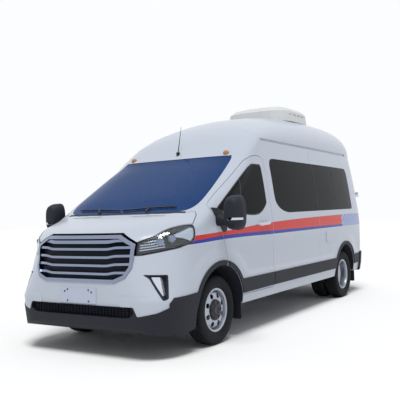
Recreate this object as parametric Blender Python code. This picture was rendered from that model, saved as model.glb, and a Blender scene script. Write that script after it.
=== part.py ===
"""A mobile dental clinic built on a long high-roof van, modelled piece by piece at its real size.

Run it with: blender --background --python part.py
Metres, +Z up. The van faces -Y, its left side is +X, and the ground is z = 0.
"""

import math

import bmesh
import bpy
from mathutils import Matrix, Vector

# Overall size
LENGTH = 5.940
HALF_WIDTH = 1.031
ROOF_HEIGHT = 2.755
WHEELBASE = 3.760
FRONT_OVERHANG = 1.015
FRONT_END = -LENGTH / 2
REAR_END = LENGTH / 2
FRONT_AXLE_Y = FRONT_END + FRONT_OVERHANG
REAR_AXLE_Y = FRONT_AXLE_Y + WHEELBASE

# Clearances
FIT = 0.0003
GAP = 0.006

# Walls
WALL = 0.078
DOOR_WALL = 0.052
ROOF_WALL = 0.060
BONNET_WALL = 0.028
BAY_WALL = 0.030
BUMPER_WALL = 0.045
LAMP_DEPTH = 0.085
GLASS_SINK = 0.003
GLASS_WALL = 0.006
CLADDING = 0.012
FLOOR_TOP = 0.700
FLOOR_BOTTOM = 0.610
SILL_BOTTOM = 0.360
SILL_INNER_X = HALF_WIDTH - 0.151
RAIL_BOTTOM = 0.470
ENGINE_HALF = 0.300
GUTTER_Z = 2.195

# Wheels: 195/75 R16 tyres, twin at the rear
TYRE_RADIUS = 0.349
TYRE_WIDTH = 0.196
RIM_RADIUS = 0.222
BEAD_RADIUS = 0.205
RIM_HALF = 0.076
FRONT_WHEEL_X = HALF_WIDTH - 0.174
REAR_OUTER_X = HALF_WIDTH - 0.151
REAR_INNER_X = REAR_OUTER_X - 0.234
WHEEL_SEGMENTS = 24
ARCH_RADIUS = 0.458
FLARE_RADIUS = ARCH_RADIUS + 0.047
ARCH_Z = 0.350
ARCH_WALL = 0.028
FRONT_HOUSE_X = 0.500
REAR_HOUSE_X = 0.510
KINGPIN_X = FRONT_WHEEL_X - 0.112
ARM_BOTTOM = 0.195
KNUCKLE_BOTTOM = 0.230
BRAKE_RADIUS = TYRE_RADIUS - KNUCKLE_BOTTOM - 0.009
FRONT_HUB = 0.040
REAR_HUB = 0.030

# Doors and lids
DOOR_HINGE = (HALF_WIDTH + 0.003, -2.105)
REAR_HINGE = (HALF_WIDTH - 0.151, REAR_END - 0.065)
REAR_GAP = 0.009
REAR_FLANGE = 0.026
BONNET_GAP = 0.008
BONNET_FLANGE = 0.014
LAMP_GAP = 0.003
BONNET_HINGE = (-2.190, 1.372)
DOOR_BOTTOM = 0.455
DOOR_REAR_Y = -0.745
DOOR_INNER_X = HALF_WIDTH - 0.149
C_PILLAR_Y = 0.665
BAND_LOW = 0.475
BAND_HIGH = 0.625


def clear_scene():
    for obj in list(bpy.data.objects):
        bpy.data.objects.remove(obj, do_unlink=True)


def smooth_curve(table):
    """Monotone cubic through (position, value) pairs, held flat beyond both ends."""
    xs = [pair[0] for pair in table]
    ys = [pair[1] for pair in table]
    slopes = [(ys[i + 1] - ys[i]) / (xs[i + 1] - xs[i]) for i in range(len(xs) - 1)]
    tangents = [slopes[0]]
    for left, right in zip(slopes, slopes[1:]):
        tangents.append(0.0 if left * right <= 0 else 2 * left * right / (left + right))
    tangents.append(slopes[-1])

    def value(x):
        if x <= xs[0]:
            return ys[0]
        if x >= xs[-1]:
            return ys[-1]
        i = max(k for k in range(len(xs) - 1) if xs[k] <= x)
        h = xs[i + 1] - xs[i]
        t = (x - xs[i]) / h
        return (
            ys[i] * (1 + 2 * t) * (1 - t) ** 2
            + tangents[i] * h * t * (1 - t) ** 2
            + ys[i + 1] * t * t * (3 - 2 * t)
            + tangents[i + 1] * h * t * t * (t - 1)
        )

    return value


def width_curve(table):
    """Curve of a half width, given as how far it lies inside the widest half width."""
    return smooth_curve([(position, HALF_WIDTH - inside) for position, inside in table])


# Body form: each table runs along y, or along z for the side's own profile
side_profile = width_curve([
    (0.20, 0.071), (0.36, 0.041), (0.50, 0.019), (0.70, 0.007), (1.00, 0.000),
    (1.20, 0.007), (1.45, 0.038), (1.75, 0.081), (2.00, 0.126), (2.20, 0.166),
])
low_plan = width_curve([
    (FRONT_END, 0.581), (-2.958, 0.411), (-2.940, 0.291), (-2.895, 0.191), (-2.807, 0.106),
    (-2.740, 0.066), (-2.640, 0.036), (-2.500, 0.019), (-2.200, 0.009), (-1.700, 0.000),
    (1.200, 0.000), (2.000, 0.011), (2.500, 0.037), (2.680, 0.066), (2.800, 0.111),
    (2.880, 0.166), (2.930, 0.231), (2.958, 0.331), (REAR_END, 0.471),
])
high_plan = width_curve([
    (FRONT_END, 0.851), (-2.950, 0.701), (-2.915, 0.551), (-2.875, 0.441), (-2.840, 0.371),
    (-2.770, 0.266), (-2.690, 0.181), (-2.600, 0.113), (-2.500, 0.071), (-2.380, 0.045),
    (-2.200, 0.023), (-1.900, 0.007), (-1.600, 0.000), (1.200, 0.000), (2.000, 0.011),
    (2.500, 0.037), (2.680, 0.066), (2.800, 0.111), (2.880, 0.166), (2.930, 0.231),
    (2.958, 0.331), (REAR_END, 0.471),
])
top_height = smooth_curve([
    (FRONT_END, 0.960), (-2.955, 1.080), (-2.920, 1.148), (-2.860, 1.190), (-2.700, 1.245),
    (-2.500, 1.300), (-2.360, 1.334), (-2.300, 1.354), (-2.040, 1.520), (-1.780, 1.680),
    (-1.520, 1.838), (-1.270, 1.990), (-1.100, 2.130), (-0.900, 2.290), (-0.650, ROOF_HEIGHT - 0.330),
    (-0.350, ROOF_HEIGHT - 0.225), (0.000, ROOF_HEIGHT - 0.145), (0.450, ROOF_HEIGHT - 0.075),
    (1.000, ROOF_HEIGHT - 0.025), (1.600, ROOF_HEIGHT), (2.300, ROOF_HEIGHT),
    (2.600, ROOF_HEIGHT - 0.020), (2.780, ROOF_HEIGHT - 0.065), (2.890, ROOF_HEIGHT - 0.145),
    (2.945, ROOF_HEIGHT - 0.235), (REAR_END, ROOF_HEIGHT - 0.355),
])
shoulder_height = smooth_curve([
    (FRONT_END, 0.780), (-2.900, 0.920), (-2.700, 1.010), (-2.400, 1.100), (-2.200, 1.160),
    (-2.018, 1.220), (-1.673, 1.400), (-1.250, 1.700), (-0.980, 1.960), (-0.800, 2.110),
    (-0.650, GUTTER_Z), (2.700, GUTTER_Z), (REAR_END, GUTTER_Z - 0.145),
])
roundness = smooth_curve([
    (FRONT_END, 2.4), (-2.700, 3.2), (-2.300, 3.8), (-2.018, 4.0), (-1.673, 4.0), (-1.250, 3.8),
    (-0.950, 3.0), (-0.700, 2.3), (REAR_END, 2.15),
])
underside = smooth_curve([
    (FRONT_END, 0.400), (-2.940, 0.310), (-2.850, 0.255), (-2.600, 0.235), (-2.350, 0.260),
    (-2.100, SILL_BOTTOM), (2.300, SILL_BOTTOM), (2.700, 0.375), (2.900, 0.400), (REAR_END, 0.440),
])

STATIONS = [
    FRONT_END, -2.957, -2.928, -2.885, -2.830, -2.750, -2.640, -2.500, -2.360, -2.300, -2.190,
    -2.030, -1.870, -1.710, -1.550, -1.405, -1.270, -1.160, -1.050, -0.930, -0.800, -0.620,
    -0.300, 0.300, 1.000, 1.700, 2.300, 2.620, 2.790, 2.880, 2.940, REAR_END,
]
SIDE_FRACTIONS = [0.0, 0.08, 0.24, 0.40, 0.58, 0.78, 1.0]
SHOULDER_STEPS = 5


def half_width(y, z):
    blend = min(1.0, max(0.0, (z - 0.55) / 0.45))
    plan = low_plan(y) * (1 - blend) + high_plan(y) * blend
    return side_profile(z) - HALF_WIDTH + plan


def slope(curve, y):
    return (curve(y + 0.002) - curve(y - 0.002)) / 0.004


def body_ring(y, inset):
    """One closed cross-section of the body, moved inwards by inset along the surface's own normal."""
    plan_slope = slope(lambda v: half_width(v, 0.9), y)
    length = math.hypot(1.0, plan_slope)
    back, across = plan_slope / length, 1.0 / length
    if y in (FRONT_END, REAR_END):
        back, across = math.copysign(1.0, -y), 0.0
    rise = slope(top_height, y)
    drop = max(0.0, math.hypot(1.0, rise) - back * rise) if inset > 0 else 1.0
    low = underside(y) + inset
    shoulder = shoulder_height(y)
    top = top_height(y) - inset * drop
    side = []
    for fraction in SIDE_FRACTIONS:
        z = low + (shoulder - low) * fraction
        side.append((max(0.03, half_width(y, z) - inset * across), z))
    for step in range(1, SHOULDER_STEPS):
        angle = math.pi / 2 * step / SHOULDER_STEPS
        x = side[len(SIDE_FRACTIONS) - 1][0] * math.cos(angle) ** (2 / roundness(y))
        side.append((x, shoulder + (top - shoulder) * math.sin(angle) ** (2 / roundness(y))))
    ring = side + [(0.0, top)] + [(-x, z) for x, z in reversed(side)]
    return [Vector((x, y + inset * back, z)) for x, z in ring]


def new_object(name, bm):
    bmesh.ops.recalc_face_normals(bm, faces=bm.faces)
    mesh = bpy.data.meshes.new(name)
    bm.to_mesh(mesh)
    bm.free()
    obj = bpy.data.objects.new(name, mesh)
    bpy.context.scene.collection.objects.link(obj)
    return obj


def loft(name, rings):
    bm = bmesh.new()
    rows = [[bm.verts.new(point) for point in ring] for ring in rings]
    for row, following in zip(rows, rows[1:]):
        for i in range(len(row)):
            j = (i + 1) % len(row)
            if row[i].co.x + row[j].co.x > 0:
                bm.faces.new((row[i], row[j], following[i]))
                bm.faces.new((row[j], following[j], following[i]))
            else:
                bm.faces.new((row[i], row[j], following[j]))
                bm.faces.new((row[i], following[j], following[i]))
    bm.faces.new(rows[0])
    bm.faces.new(rows[-1])
    return new_object(name, bm)


def core(inset):
    """The body's outer form moved inwards by inset, outwards where inset is negative."""
    return loft("core", [body_ring(y, inset) for y in STATIONS])


def prism(axis, outline, start, end):
    """A flat outline pushed along an axis: (y, z) along X, (x, z) along Y, (x, y) along Z."""
    bm = bmesh.new()

    def place(point, depth):
        if axis == "X":
            return Vector((depth, point[0], point[1]))
        if axis == "Y":
            return Vector((point[0], depth, point[1]))
        return Vector((point[0], point[1], depth))

    verts = [bm.verts.new(place(point, start)) for point in outline]
    face = bm.faces.new(verts)
    extruded = bmesh.ops.extrude_face_region(bm, geom=[face])
    moved = [item for item in extruded["geom"] if isinstance(item, bmesh.types.BMVert)]
    bmesh.ops.translate(bm, verts=moved, vec=place((0.0, 0.0), end) - place((0.0, 0.0), start))
    return new_object("prism", bm)


def box(x0, x1, y0, y1, z0, z1):
    return prism("Z", [(x0, y0), (x1, y0), (x1, y1), (x0, y1)], z0, z1)


def rod(axis, centre, radius, start, end, segments=24):
    turns = [2 * math.pi * i / segments for i in range(segments)]
    outline = [(centre[0] + radius * math.cos(a), centre[1] + radius * math.sin(a)) for a in turns]
    return prism(axis, outline, start, end)


def arc(centre, radius, first, last, steps):
    """Points (y, z) round a centre, angles in degrees from +y towards +z."""
    angles = [math.radians(first + (last - first) * i / steps) for i in range(steps + 1)]
    return [(centre[0] + radius * math.cos(a), centre[1] + radius * math.sin(a)) for a in angles]


def grow(outline, amount):
    """The outline with every edge moved outwards by amount, or inwards where it is negative."""
    area = sum(a[0] * b[1] - b[0] * a[1] for a, b in zip(outline, outline[1:] + outline[:1]))
    sign = 1.0 if area > 0 else -1.0
    grown = []
    for i, point in enumerate(outline):
        before, after = outline[i - 1], outline[(i + 1) % len(outline)]
        d1 = Vector((point[0] - before[0], point[1] - before[1])).normalized()
        d2 = Vector((after[0] - point[0], after[1] - point[1])).normalized()
        n1 = Vector((d1.y, -d1.x)) * sign
        n2 = Vector((d2.y, -d2.x)) * sign
        middle = (n1 + n2).normalized()
        reach = amount / max(0.35, middle.dot(n1))
        grown.append((point[0] + middle.x * reach, point[1] + middle.y * reach))
    return grown


def join(target, tool, operation):
    """Combine two solids into the first and remove the second."""
    modifier = target.modifiers.new("join", "BOOLEAN")
    modifier.operation = operation
    modifier.solver = "EXACT"
    modifier.object = tool
    graph = bpy.context.evaluated_depsgraph_get()
    mesh = bpy.data.meshes.new_from_object(target.evaluated_get(graph))
    target.modifiers.clear()
    old = target.data
    target.data = mesh
    bpy.data.meshes.remove(old)
    bpy.data.objects.remove(tool, do_unlink=True)
    return target


def cut(target, *tools):
    for tool in tools:
        join(target, tool, "DIFFERENCE")
    return target


def keep(target, *tools):
    for tool in tools:
        join(target, tool, "INTERSECT")
    return target


def add(target, *tools):
    for tool in tools:
        join(target, tool, "UNION")
    return target


def mirrored(obj):
    """The same solid on the other side of the van."""
    bm = bmesh.new()
    bm.from_mesh(obj.data)
    bmesh.ops.transform(bm, matrix=Matrix.Scale(-1.0, 4, Vector((1.0, 0.0, 0.0))), verts=bm.verts)
    bmesh.ops.reverse_faces(bm, faces=bm.faces)
    return new_object(obj.name + "_mirror", bm)


def crust(outer_inset, inner_inset, *zones):
    """The layer of the body between two depths, kept inside every zone."""
    layer = core(outer_inset)
    cut(layer, core(inner_inset))
    return keep(layer, *zones)


def recess(depth, zone):
    """A pocket for a panel: the zone, down to a depth below the body's surface."""
    return cut(zone, core(depth))


def finish(obj, name, colour, roughness=0.4, metallic=0.0, angle=30.0):
    bm = bmesh.new()
    bm.from_mesh(obj.data)
    bmesh.ops.remove_doubles(bm, verts=bm.verts, dist=0.00002)
    bmesh.ops.dissolve_degenerate(bm, edges=bm.edges, dist=0.00002)
    bmesh.ops.dissolve_limit(bm, angle_limit=math.radians(0.02), verts=bm.verts, edges=bm.edges)
    bm.to_mesh(obj.data)
    bm.free()
    obj.name = name
    obj.data.name = name
    material = bpy.data.materials.new(name)
    material.use_nodes = True
    shader = material.node_tree.nodes["Principled BSDF"]
    shader.inputs["Base Color"].default_value = (*colour, 1.0)
    shader.inputs["Roughness"].default_value = roughness
    shader.inputs["Metallic"].default_value = metallic
    obj.data.materials.clear()
    obj.data.materials.append(material)
    obj.data.shade_smooth()
    obj.data.set_sharp_from_angle(angle=math.radians(angle))
    return obj


def set_axis(obj, x, y, z):
    """Put the object's origin on its joint axis without moving the solid."""
    point = Vector((x, y, z))
    obj.data.transform(Matrix.Translation(-point))
    obj.location = point
    return obj


# Colours
WHITE = (0.80, 0.81, 0.82)
BLACK = (0.02, 0.022, 0.028)
GLASS = (0.03, 0.035, 0.045)
CHROME = (0.75, 0.75, 0.77)
STEEL = (0.35, 0.36, 0.38)
RUBBER = (0.015, 0.015, 0.016)
GREY = (0.18, 0.19, 0.20)

# Side views (y, z)
FRONT_ARCH = (FRONT_AXLE_Y, ARCH_Z)
REAR_ARCH = (REAR_AXLE_Y, ARCH_Z)
ROOF_LINE = [
    (-1.700, 1.992), (-1.130, 1.992), (-1.020, 2.050), (-0.900, 2.125), (-0.780, GUTTER_Z),
    (3.200, GUTTER_Z), (3.200, 3.200), (-1.700, 3.200),
]
DOOR_LINE = [
    (DOOR_REAR_Y, DOOR_BOTTOM), (DOOR_REAR_Y, 1.900), (-0.757, 1.960), (-0.800, 1.990), (-0.880, 1.998),
    (-1.060, 1.982), (-1.200, 1.930), (-1.400, 1.810), (-1.650, 1.670), (-1.900, 1.527),
    (-2.040, 1.442), (-2.085, 1.402), (-2.080, 1.340), (-2.020, 1.250), (-1.925, 1.130),
    (-1.870, 0.950), (-1.844, 0.790), (-1.844, DOOR_BOTTOM),
]
DOOR_GLASS_LINE = [
    (-0.835, 1.440), (-0.835, 1.860), (-0.860, 1.895), (-1.080, 1.893), (-1.200, 1.850),
    (-1.300, 1.795), (-1.560, 1.648), (-1.830, 1.490), (-1.985, 1.395), (-1.995, 1.362), (-1.900, 1.345),
    (-1.560, 1.325), (-1.300, 1.302), (-1.200, 1.300), (-1.120, 1.330), (-0.980, 1.410),
    (-0.900, 1.435),
]
SIDE_GLASS_LINE = [
    (2.270, 1.345), (2.270, 1.930), (2.235, 1.975), (2.190, 1.985), (-0.480, 1.985),
    (-0.560, 1.965), (-0.595, 1.900), (-0.600, 1.520), (-0.580, 1.440), (-0.500, 1.375),
    (-0.380, 1.335), (-0.250, 1.318),
]
SLIDE_FRONT_GLASS = [
    (0.585, 1.325), (0.585, 1.985), (-0.480, 1.985), (-0.560, 1.965), (-0.595, 1.900),
    (-0.600, 1.520), (-0.580, 1.440), (-0.500, 1.375), (-0.380, 1.335), (-0.250, 1.318),
]
SLIDE_REAR_GLASS = [
    (0.745, 1.330), (2.270, 1.345), (2.270, 1.930), (2.235, 1.975), (2.190, 1.985), (0.745, 1.985),
]
SLIDING_LINE = [
    (-0.705, 0.480), (C_PILLAR_Y, 0.480), (C_PILLAR_Y, 2.100), (0.640, 2.130), (-0.680, 2.130),
    (-0.705, 2.100),
]
LAMP_LINE = [
    (-2.960, 0.955), (-2.840, 0.965), (-2.690, 1.000), (-2.520, 1.035), (-2.420, 1.060),
    (-2.385, 1.110), (-2.375, 1.300), (-2.960, 1.300),
]
LOWER_LINE = (
    [(-3.200, 0.050), (-2.440, 0.050)]
    + arc(FRONT_ARCH, ARCH_RADIUS + FIT, 191, 80, 10)
    + arc(FRONT_ARCH, FLARE_RADIUS, 80, 152, 6)
    + [(-2.560, 0.578), (-2.730, 0.572), (-2.800, 0.500), (-3.200, 0.500)]
)
NOSE_LINE = [
    (-3.200, 0.400), (-2.430, 0.400), (-2.360, 0.620), (-2.430, 0.740), (-2.520, 0.880),
    (-2.556, 1.000), (-2.560, 1.310), (-3.200, 1.310),
]
BUMPER_LINE = NOSE_LINE[:6] + [(-2.557, 1.022), (-2.690, 0.996), (-2.840, 0.961), (-3.200, 0.946)]
BAND_REACH = math.sqrt(ARCH_RADIUS ** 2 - (BAND_LOW - ARCH_Z) ** 2) + FIT
SIDE_BAND = (
    [(DOOR_REAR_Y + 0.010, BAND_LOW), (REAR_ARCH[0] - BAND_REACH, BAND_LOW)]
    + arc(REAR_ARCH, ARCH_RADIUS + FIT, 162, 18, 13)
    + [(REAR_ARCH[0] + BAND_REACH, BAND_LOW), (2.545, BAND_LOW), (2.545, BAND_HIGH)]
    + arc(REAR_ARCH, FLARE_RADIUS, 33, 147, 10)
    + [(DOOR_REAR_Y + 0.010, BAND_HIGH)]
)
DOOR_BAND = (
    [(DOOR_REAR_Y - 0.004, BAND_LOW)]
    + arc(FRONT_ARCH, ARCH_RADIUS - 0.02, 16, 74, 9)
    + arc(FRONT_ARCH, FLARE_RADIUS, 76, 33, 5)
    + [(DOOR_REAR_Y - 0.004, BAND_HIGH)]
)
CAB_OPENING = [
    (-1.780, 0.900), (-1.400, 0.720), (-0.830, 0.720), (-0.830, 1.900), (-1.100, 1.900),
    (-1.330, 1.770), (-1.900, 1.450),
]
SLIDE_OPENING = [(-0.600, 0.760), (0.560, 0.760), (0.560, 2.030), (-0.600, 2.030)]
DOOR_RELIEF = [(-2.075, 1.325), (-1.955, 1.325), (-1.955, 1.420), (-2.075, 1.420)]
DOOR_HANDLE = [(-1.130, 1.178), (-0.870, 1.190), (-0.870, 1.222), (-1.130, 1.212)]
HANDLE_ROOM = [(-1.100, 1.160), (-0.905, 1.160), (-0.905, 1.240), (-1.100, 1.240)]
SLIDE_HANDLE = [(-0.640, 1.178), (-0.600, 1.178), (-0.600, 1.260), (-0.640, 1.260)]

# Front and rear views (x, z)
GRILLE_LINE = [
    (-0.440, 0.712), (0.440, 0.712), (0.560, 0.760), (0.615, 0.850), (0.628, 1.070),
    (0.460, 1.158), (-0.460, 1.158), (-0.628, 1.070), (-0.615, 0.850), (-0.560, 0.760),
]
SCREEN_LINE = [
    (-0.500, 1.358), (0.500, 1.358), (0.700, 1.362), (0.785, 1.376), (0.832, 1.412),
    (0.852, 1.470), (0.842, 1.600), (0.815, 1.780), (0.780, 1.930), (0.765, 1.986),
    (-0.765, 1.986), (-0.780, 1.930), (-0.815, 1.780), (-0.842, 1.600), (-0.852, 1.470),
    (-0.832, 1.412), (-0.785, 1.376), (-0.700, 1.362),
]
BONNET_FRONT = [
    (-1.100, 1.290), (-0.950, 1.222), (-0.660, 1.098), (-0.630, 1.085), (-0.462, 1.172),
    (0.462, 1.172), (0.630, 1.085), (0.660, 1.098), (0.950, 1.222), (1.100, 1.290),
    (1.100, 1.700), (-1.100, 1.700),
]
BONNET_PLAN = [
    (0.640, -3.200), (0.660, -2.900), (0.800, -2.640), (0.945, -2.370), (0.905, -2.240), (0.868, -2.205),
    (0.800, -2.240), (0.600, -2.300), (0.300, -2.328), (-0.300, -2.328), (-0.600, -2.300),
    (-0.800, -2.240), (-0.868, -2.205), (-0.905, -2.240), (-0.945, -2.370), (-0.800, -2.640),
    (-0.660, -2.900), (-0.640, -3.200),
]
INTAKE_LINE = [
    (-0.560, 0.395), (0.560, 0.395), (0.620, 0.440), (0.600, 0.498), (-0.600, 0.498), (-0.620, 0.440),
]
REAR_DOOR_LINE = [
    (0.004, 0.665), (0.780, 0.665), (0.800, 0.690), (0.790, 1.500), (0.745, 2.050), (0.715, 2.120),
    (0.640, 2.150), (0.004, 2.150),
]
REAR_EDGE = [(0.735, 0.600), (0.735, 1.500), (0.690, 2.030), (0.640, 2.200), (1.000, 2.200), (1.000, 0.600)]
REAR_OPENING = [
    (-0.740, 0.720), (0.740, 0.720), (0.730, 1.500), (0.690, 2.040), (0.640, 2.090), (-0.640, 2.090),
    (-0.690, 2.040), (-0.730, 1.500),
]
REAR_GLASS_LINE = [
    (0.110, 1.360), (0.640, 1.360), (0.680, 1.400), (0.650, 1.900), (0.610, 1.960), (0.110, 1.960),
]
TAIL_LAMP_LINE = [(2.760, 1.060), (3.100, 1.060), (3.100, 1.520), (2.800, 1.520), (2.770, 1.480)]


def side_zone(outline, amount=0.0, start=0.30, end=1.30):
    return prism("X", grow(outline, amount), start, end)


def front_zone(outline, amount=0.0, start=-3.20, end=-2.00):
    return prism("Y", grow(outline, amount), start, end)


def bonnet_zone(amount=0.0):
    zone = front_zone(BONNET_FRONT, amount, -3.20, -2.10)
    return keep(zone, prism("Z", grow(BONNET_PLAN, amount), 1.00, 1.80))


def lamp_zone(amount=0.0):
    zone = side_zone(LAMP_LINE, amount, 0.636 - amount, 1.30)
    return cut(zone, bonnet_zone(GAP / 2 - amount))


def wheel_house(y, inner_x, extra):
    return rod("X", (y, ARCH_Z), ARCH_RADIUS + extra, inner_x - extra, 1.20, 32)


def both_sides(solid):
    return [solid, mirrored(solid)]


def interior():
    """Space of the cab and the clinic room, down to the floor."""
    outline = [
        (-2.030, FLOOR_TOP), (2.990, FLOOR_TOP), (2.990, 3.200), (-2.500, 3.200), (-2.345, 1.345),
        (-2.270, 1.305), (-2.030, 1.225),
    ]
    space = keep(core(WALL), prism("X", outline, -1.30, 1.30))
    for house in both_sides(wheel_house(FRONT_AXLE_Y, FRONT_HOUSE_X, ARCH_WALL)):
        cut(space, house)
    for house in both_sides(wheel_house(REAR_AXLE_Y, REAR_HOUSE_X, ARCH_WALL)):
        cut(space, house)
    return space


def engine_bay():
    outline = [
        (-3.200, 0.050), (-2.085, 0.050), (-2.085, 1.185), (-2.340, 1.270), (-2.360, 1.700), (-3.200, 1.700),
    ]
    space = keep(core(BAY_WALL), prism("X", outline, -1.30, 1.30))
    add(space, box(-0.86, 0.86, -2.80, -2.085, 0.05, 0.45))
    for house in both_sides(wheel_house(FRONT_AXLE_Y, FRONT_HOUSE_X, ARCH_WALL)):
        cut(space, house)
    return space


def make_body():
    body = core(0.0)
    cut(body, interior())
    cut(body, engine_bay())
    cut(body, box(-SILL_INNER_X, SILL_INNER_X, -2.085, 2.870, 0.05, FLOOR_BOTTOM))
    for y, inner_x in ((FRONT_AXLE_Y, FRONT_HOUSE_X), (REAR_AXLE_Y, REAR_HOUSE_X)):
        for house in both_sides(wheel_house(y, inner_x, 0.0)):
            cut(body, house)
    cut(body, prism("X", grow(ROOF_LINE, FIT / 2), -1.30, 1.30))
    screen = [(x, z + (0.08 if z > 1.98 else 0.0)) for x, z in SCREEN_LINE]
    cut(body, front_zone(screen, 0.0, -2.60, -0.95))
    cut(body, recess(BONNET_WALL + GAP, bonnet_zone(BONNET_GAP - GAP / 2)))
    for pocket in both_sides(recess(DOOR_WALL + 0.004, side_zone(DOOR_LINE, GAP / 2, DOOR_INNER_X - GAP))):
        cut(body, pocket)
    for pocket in both_sides(recess(LAMP_DEPTH + FIT, lamp_zone(FIT))):
        cut(body, pocket)
    cut(body, prism("X", [(y + FIT if y > -3 else y, z) for y, z in NOSE_LINE], -1.30, 1.30))
    lower = prism("X", grow(LOWER_LINE, FIT), -1.30, 1.30)
    cut(body, lower)
    cut(body, side_zone(SIDE_GLASS_LINE))
    cut(body, side_zone(SLIDE_REAR_GLASS, 0.0, -1.30, -0.30))
    cut(body, recess(DOOR_WALL + FIT, prism("X", grow(SLIDING_LINE, GAP / 2), -1.30, -0.30)))
    cut(body, prism("X", SLIDE_OPENING, -1.30, -0.30))
    for opening in both_sides(side_zone(CAB_OPENING)):
        cut(body, opening)
    for room in both_sides(side_zone(DOOR_RELIEF, 0.0, HALF_WIDTH - 0.191, HALF_WIDTH - 0.081)):
        cut(body, room)
    for pocket in both_sides(front_zone(REAR_DOOR_LINE, REAR_GAP - GAP / 2, 2.70, 3.20)):
        cut(body, recess(DOOR_WALL + 0.004, pocket))
    cut(body, front_zone(REAR_OPENING, 0.0, 2.60, 3.20))
    for pocket in both_sides(recess(0.041, tail_zone(0.001))):
        cut(body, pocket)
    cut(body, recess(BUMPER_WALL + 0.001, rear_bumper_zone(FIT)))
    add_seats(body)
    return finish(body, "body_shell", WHITE, 0.25)


def add_seats(body):
    """Pads in the gaps: hinge and striker seats of the doors, and the bonnet's hinge seats."""
    door_seats = [
        [(-1.985, 1.275), (-1.930, 1.275), (-1.930, 1.320), (-1.985, 1.320)],
        [(-1.850, 0.980), (-1.800, 0.980), (-1.800, 1.025), (-1.850, 1.025)],
        [(-0.815, 1.060), (-0.775, 1.060), (-0.775, 1.110), (-0.815, 1.110)],
    ]
    rear_seats = [
        [(0.480, 0.672), (0.560, 0.672), (0.560, 0.712), (0.480, 0.712)],
        [(0.480, 2.100), (0.560, 2.100), (0.560, 2.140), (0.480, 2.140)],
    ]
    bonnet_seat = [(0.740, -2.320), (0.790, -2.320), (0.790, -2.275), (0.740, -2.275)]
    pads = [crust(BONNET_WALL + FIT, BONNET_WALL + 0.016, prism("Z", bonnet_seat, 1.20, 1.50))]
    for outline in door_seats:
        pads.append(crust(DOOR_WALL + FIT, DOOR_WALL + 0.012, side_zone(outline)))
    for outline in rear_seats:
        pads.append(crust(DOOR_WALL + FIT, DOOR_WALL + 0.020, front_zone(outline, 0.0, 2.70, 3.20)))
    for pad in pads:
        for one in both_sides(pad):
            add(body, one)


def tail_zone(amount=0.0):
    return side_zone(TAIL_LAMP_LINE, amount, 0.818 - amount, 1.20)


def rear_bumper_zone(amount=0.0):
    outline = [(2.560, 0.300), (3.200, 0.300), (3.200, 0.640), (2.560, 0.640)]
    return prism("X", grow(outline, amount), -1.30, 1.30)


def make_roof():
    roof = crust(0.0, ROOF_WALL, prism("X", grow(ROOF_LINE, -FIT / 2), -1.30, 1.30))
    low, high = GUTTER_Z + 0.005, GUTTER_Z + 0.031
    outline = [(-0.700, low), (2.420, low), (2.420, high), (-0.700, high)]
    for channel in both_sides(crust(-0.02, 0.014, prism("X", outline, 0.5, 1.3))):
        cut(roof, channel)
    return finish(roof, "high_roof", WHITE, 0.25)


def make_roof_unit():
    """Low air-conditioning dome on the roof, with louvre slots in its sides."""
    top = ROOF_HEIGHT + 0.150
    steps = [
        (0.0, 0.36, 0.98, 1.72), (0.035, 0.45, 0.86, 1.84), (0.085, 0.50, 0.80, 1.90),
        (0.24, 0.52, 0.78, 1.92),
    ]
    rings = []
    for z_drop, half_x, y0, y1 in steps:
        ring = []
        for i in range(24):
            angle = 2 * math.pi * (i + 0.5) / 24
            cx, cy = math.cos(angle), math.sin(angle)
            px = half_x * math.copysign(abs(cx) ** 0.55, cx)
            py = (y0 + y1) / 2 + (y1 - y0) / 2 * math.copysign(abs(cy) ** 0.55, cy)
            ring.append(Vector((px, py, top - z_drop)))
        rings.append(ring)
    unit = loft("unit", rings)
    cut(unit, core(-FIT))
    for side in (-1, 1):
        x0, x1 = sorted((side * 0.485, side * 0.60))
        for i in range(5):
            cut(unit, box(x0, x1, 1.02 + 0.14 * i, 1.12 + 0.14 * i, top - 0.140, top - 0.120))
    return finish(unit, "roof_unit", WHITE, 0.3)


def make_antenna():
    foot = rod("Z", (0.0, -1.190), 0.022, 2.00, 2.085, 12)
    cut(foot, core(-FIT))
    bm = bmesh.new()
    points = [Vector((0.0, -1.190, 2.078)), Vector((0.0, -1.105, 2.400))]
    direction = (points[1] - points[0]).normalized()
    frame = direction.to_track_quat("Z", "Y").to_matrix().to_4x4()
    length = (points[1] - points[0]).length
    bmesh.ops.create_cone(bm, cap_ends=True, segments=10, radius1=0.0060, radius2=0.0026, depth=length,
                          matrix=Matrix.Translation((points[0] + points[1]) / 2) @ frame)
    add(foot, new_object("whip", bm))
    return finish(foot, "antenna", BLACK)


def make_marker_lamp(name, side):
    bm = bmesh.new()
    centre = Matrix.Translation((side * 0.670, -1.190, 2.020))
    bmesh.ops.create_uvsphere(bm, u_segments=12, v_segments=6, radius=0.040, matrix=centre)
    lamp = new_object(name, bm)
    cut(lamp, core(-FIT))
    return finish(lamp, name, (0.75, 0.28, 0.04))


def make_bonnet():
    """Bonnet, thinner along its sides and front so that they clear the headlamps as it lifts."""
    bonnet = crust(0.0, BONNET_WALL, bonnet_zone(-GAP / 2))
    edges = keep(core(BONNET_FLANGE), box(-1.200, 1.200, -3.200, -2.335, 1.000, 1.800))
    cut(edges, bonnet_zone(-0.045))
    cut(bonnet, edges)
    outline = [(0.220, -2.400), (0.600, -2.372), (0.620, -2.352), (0.240, -2.372)]
    for slot in both_sides(prism("Z", outline, 1.20, 1.50)):
        cut(bonnet, recess(0.010, slot))
    finish(bonnet, "bonnet", WHITE, 0.25)
    return set_axis(bonnet, 0.0, *BONNET_HINGE)


def make_windscreen():
    screen = crust(GLASS_SINK, GLASS_SINK + GLASS_WALL, front_zone(SCREEN_LINE, -FIT, -2.60, -0.95))
    return finish(screen, "windscreen", (0.10, 0.14, 0.20), 0.08)


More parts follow.
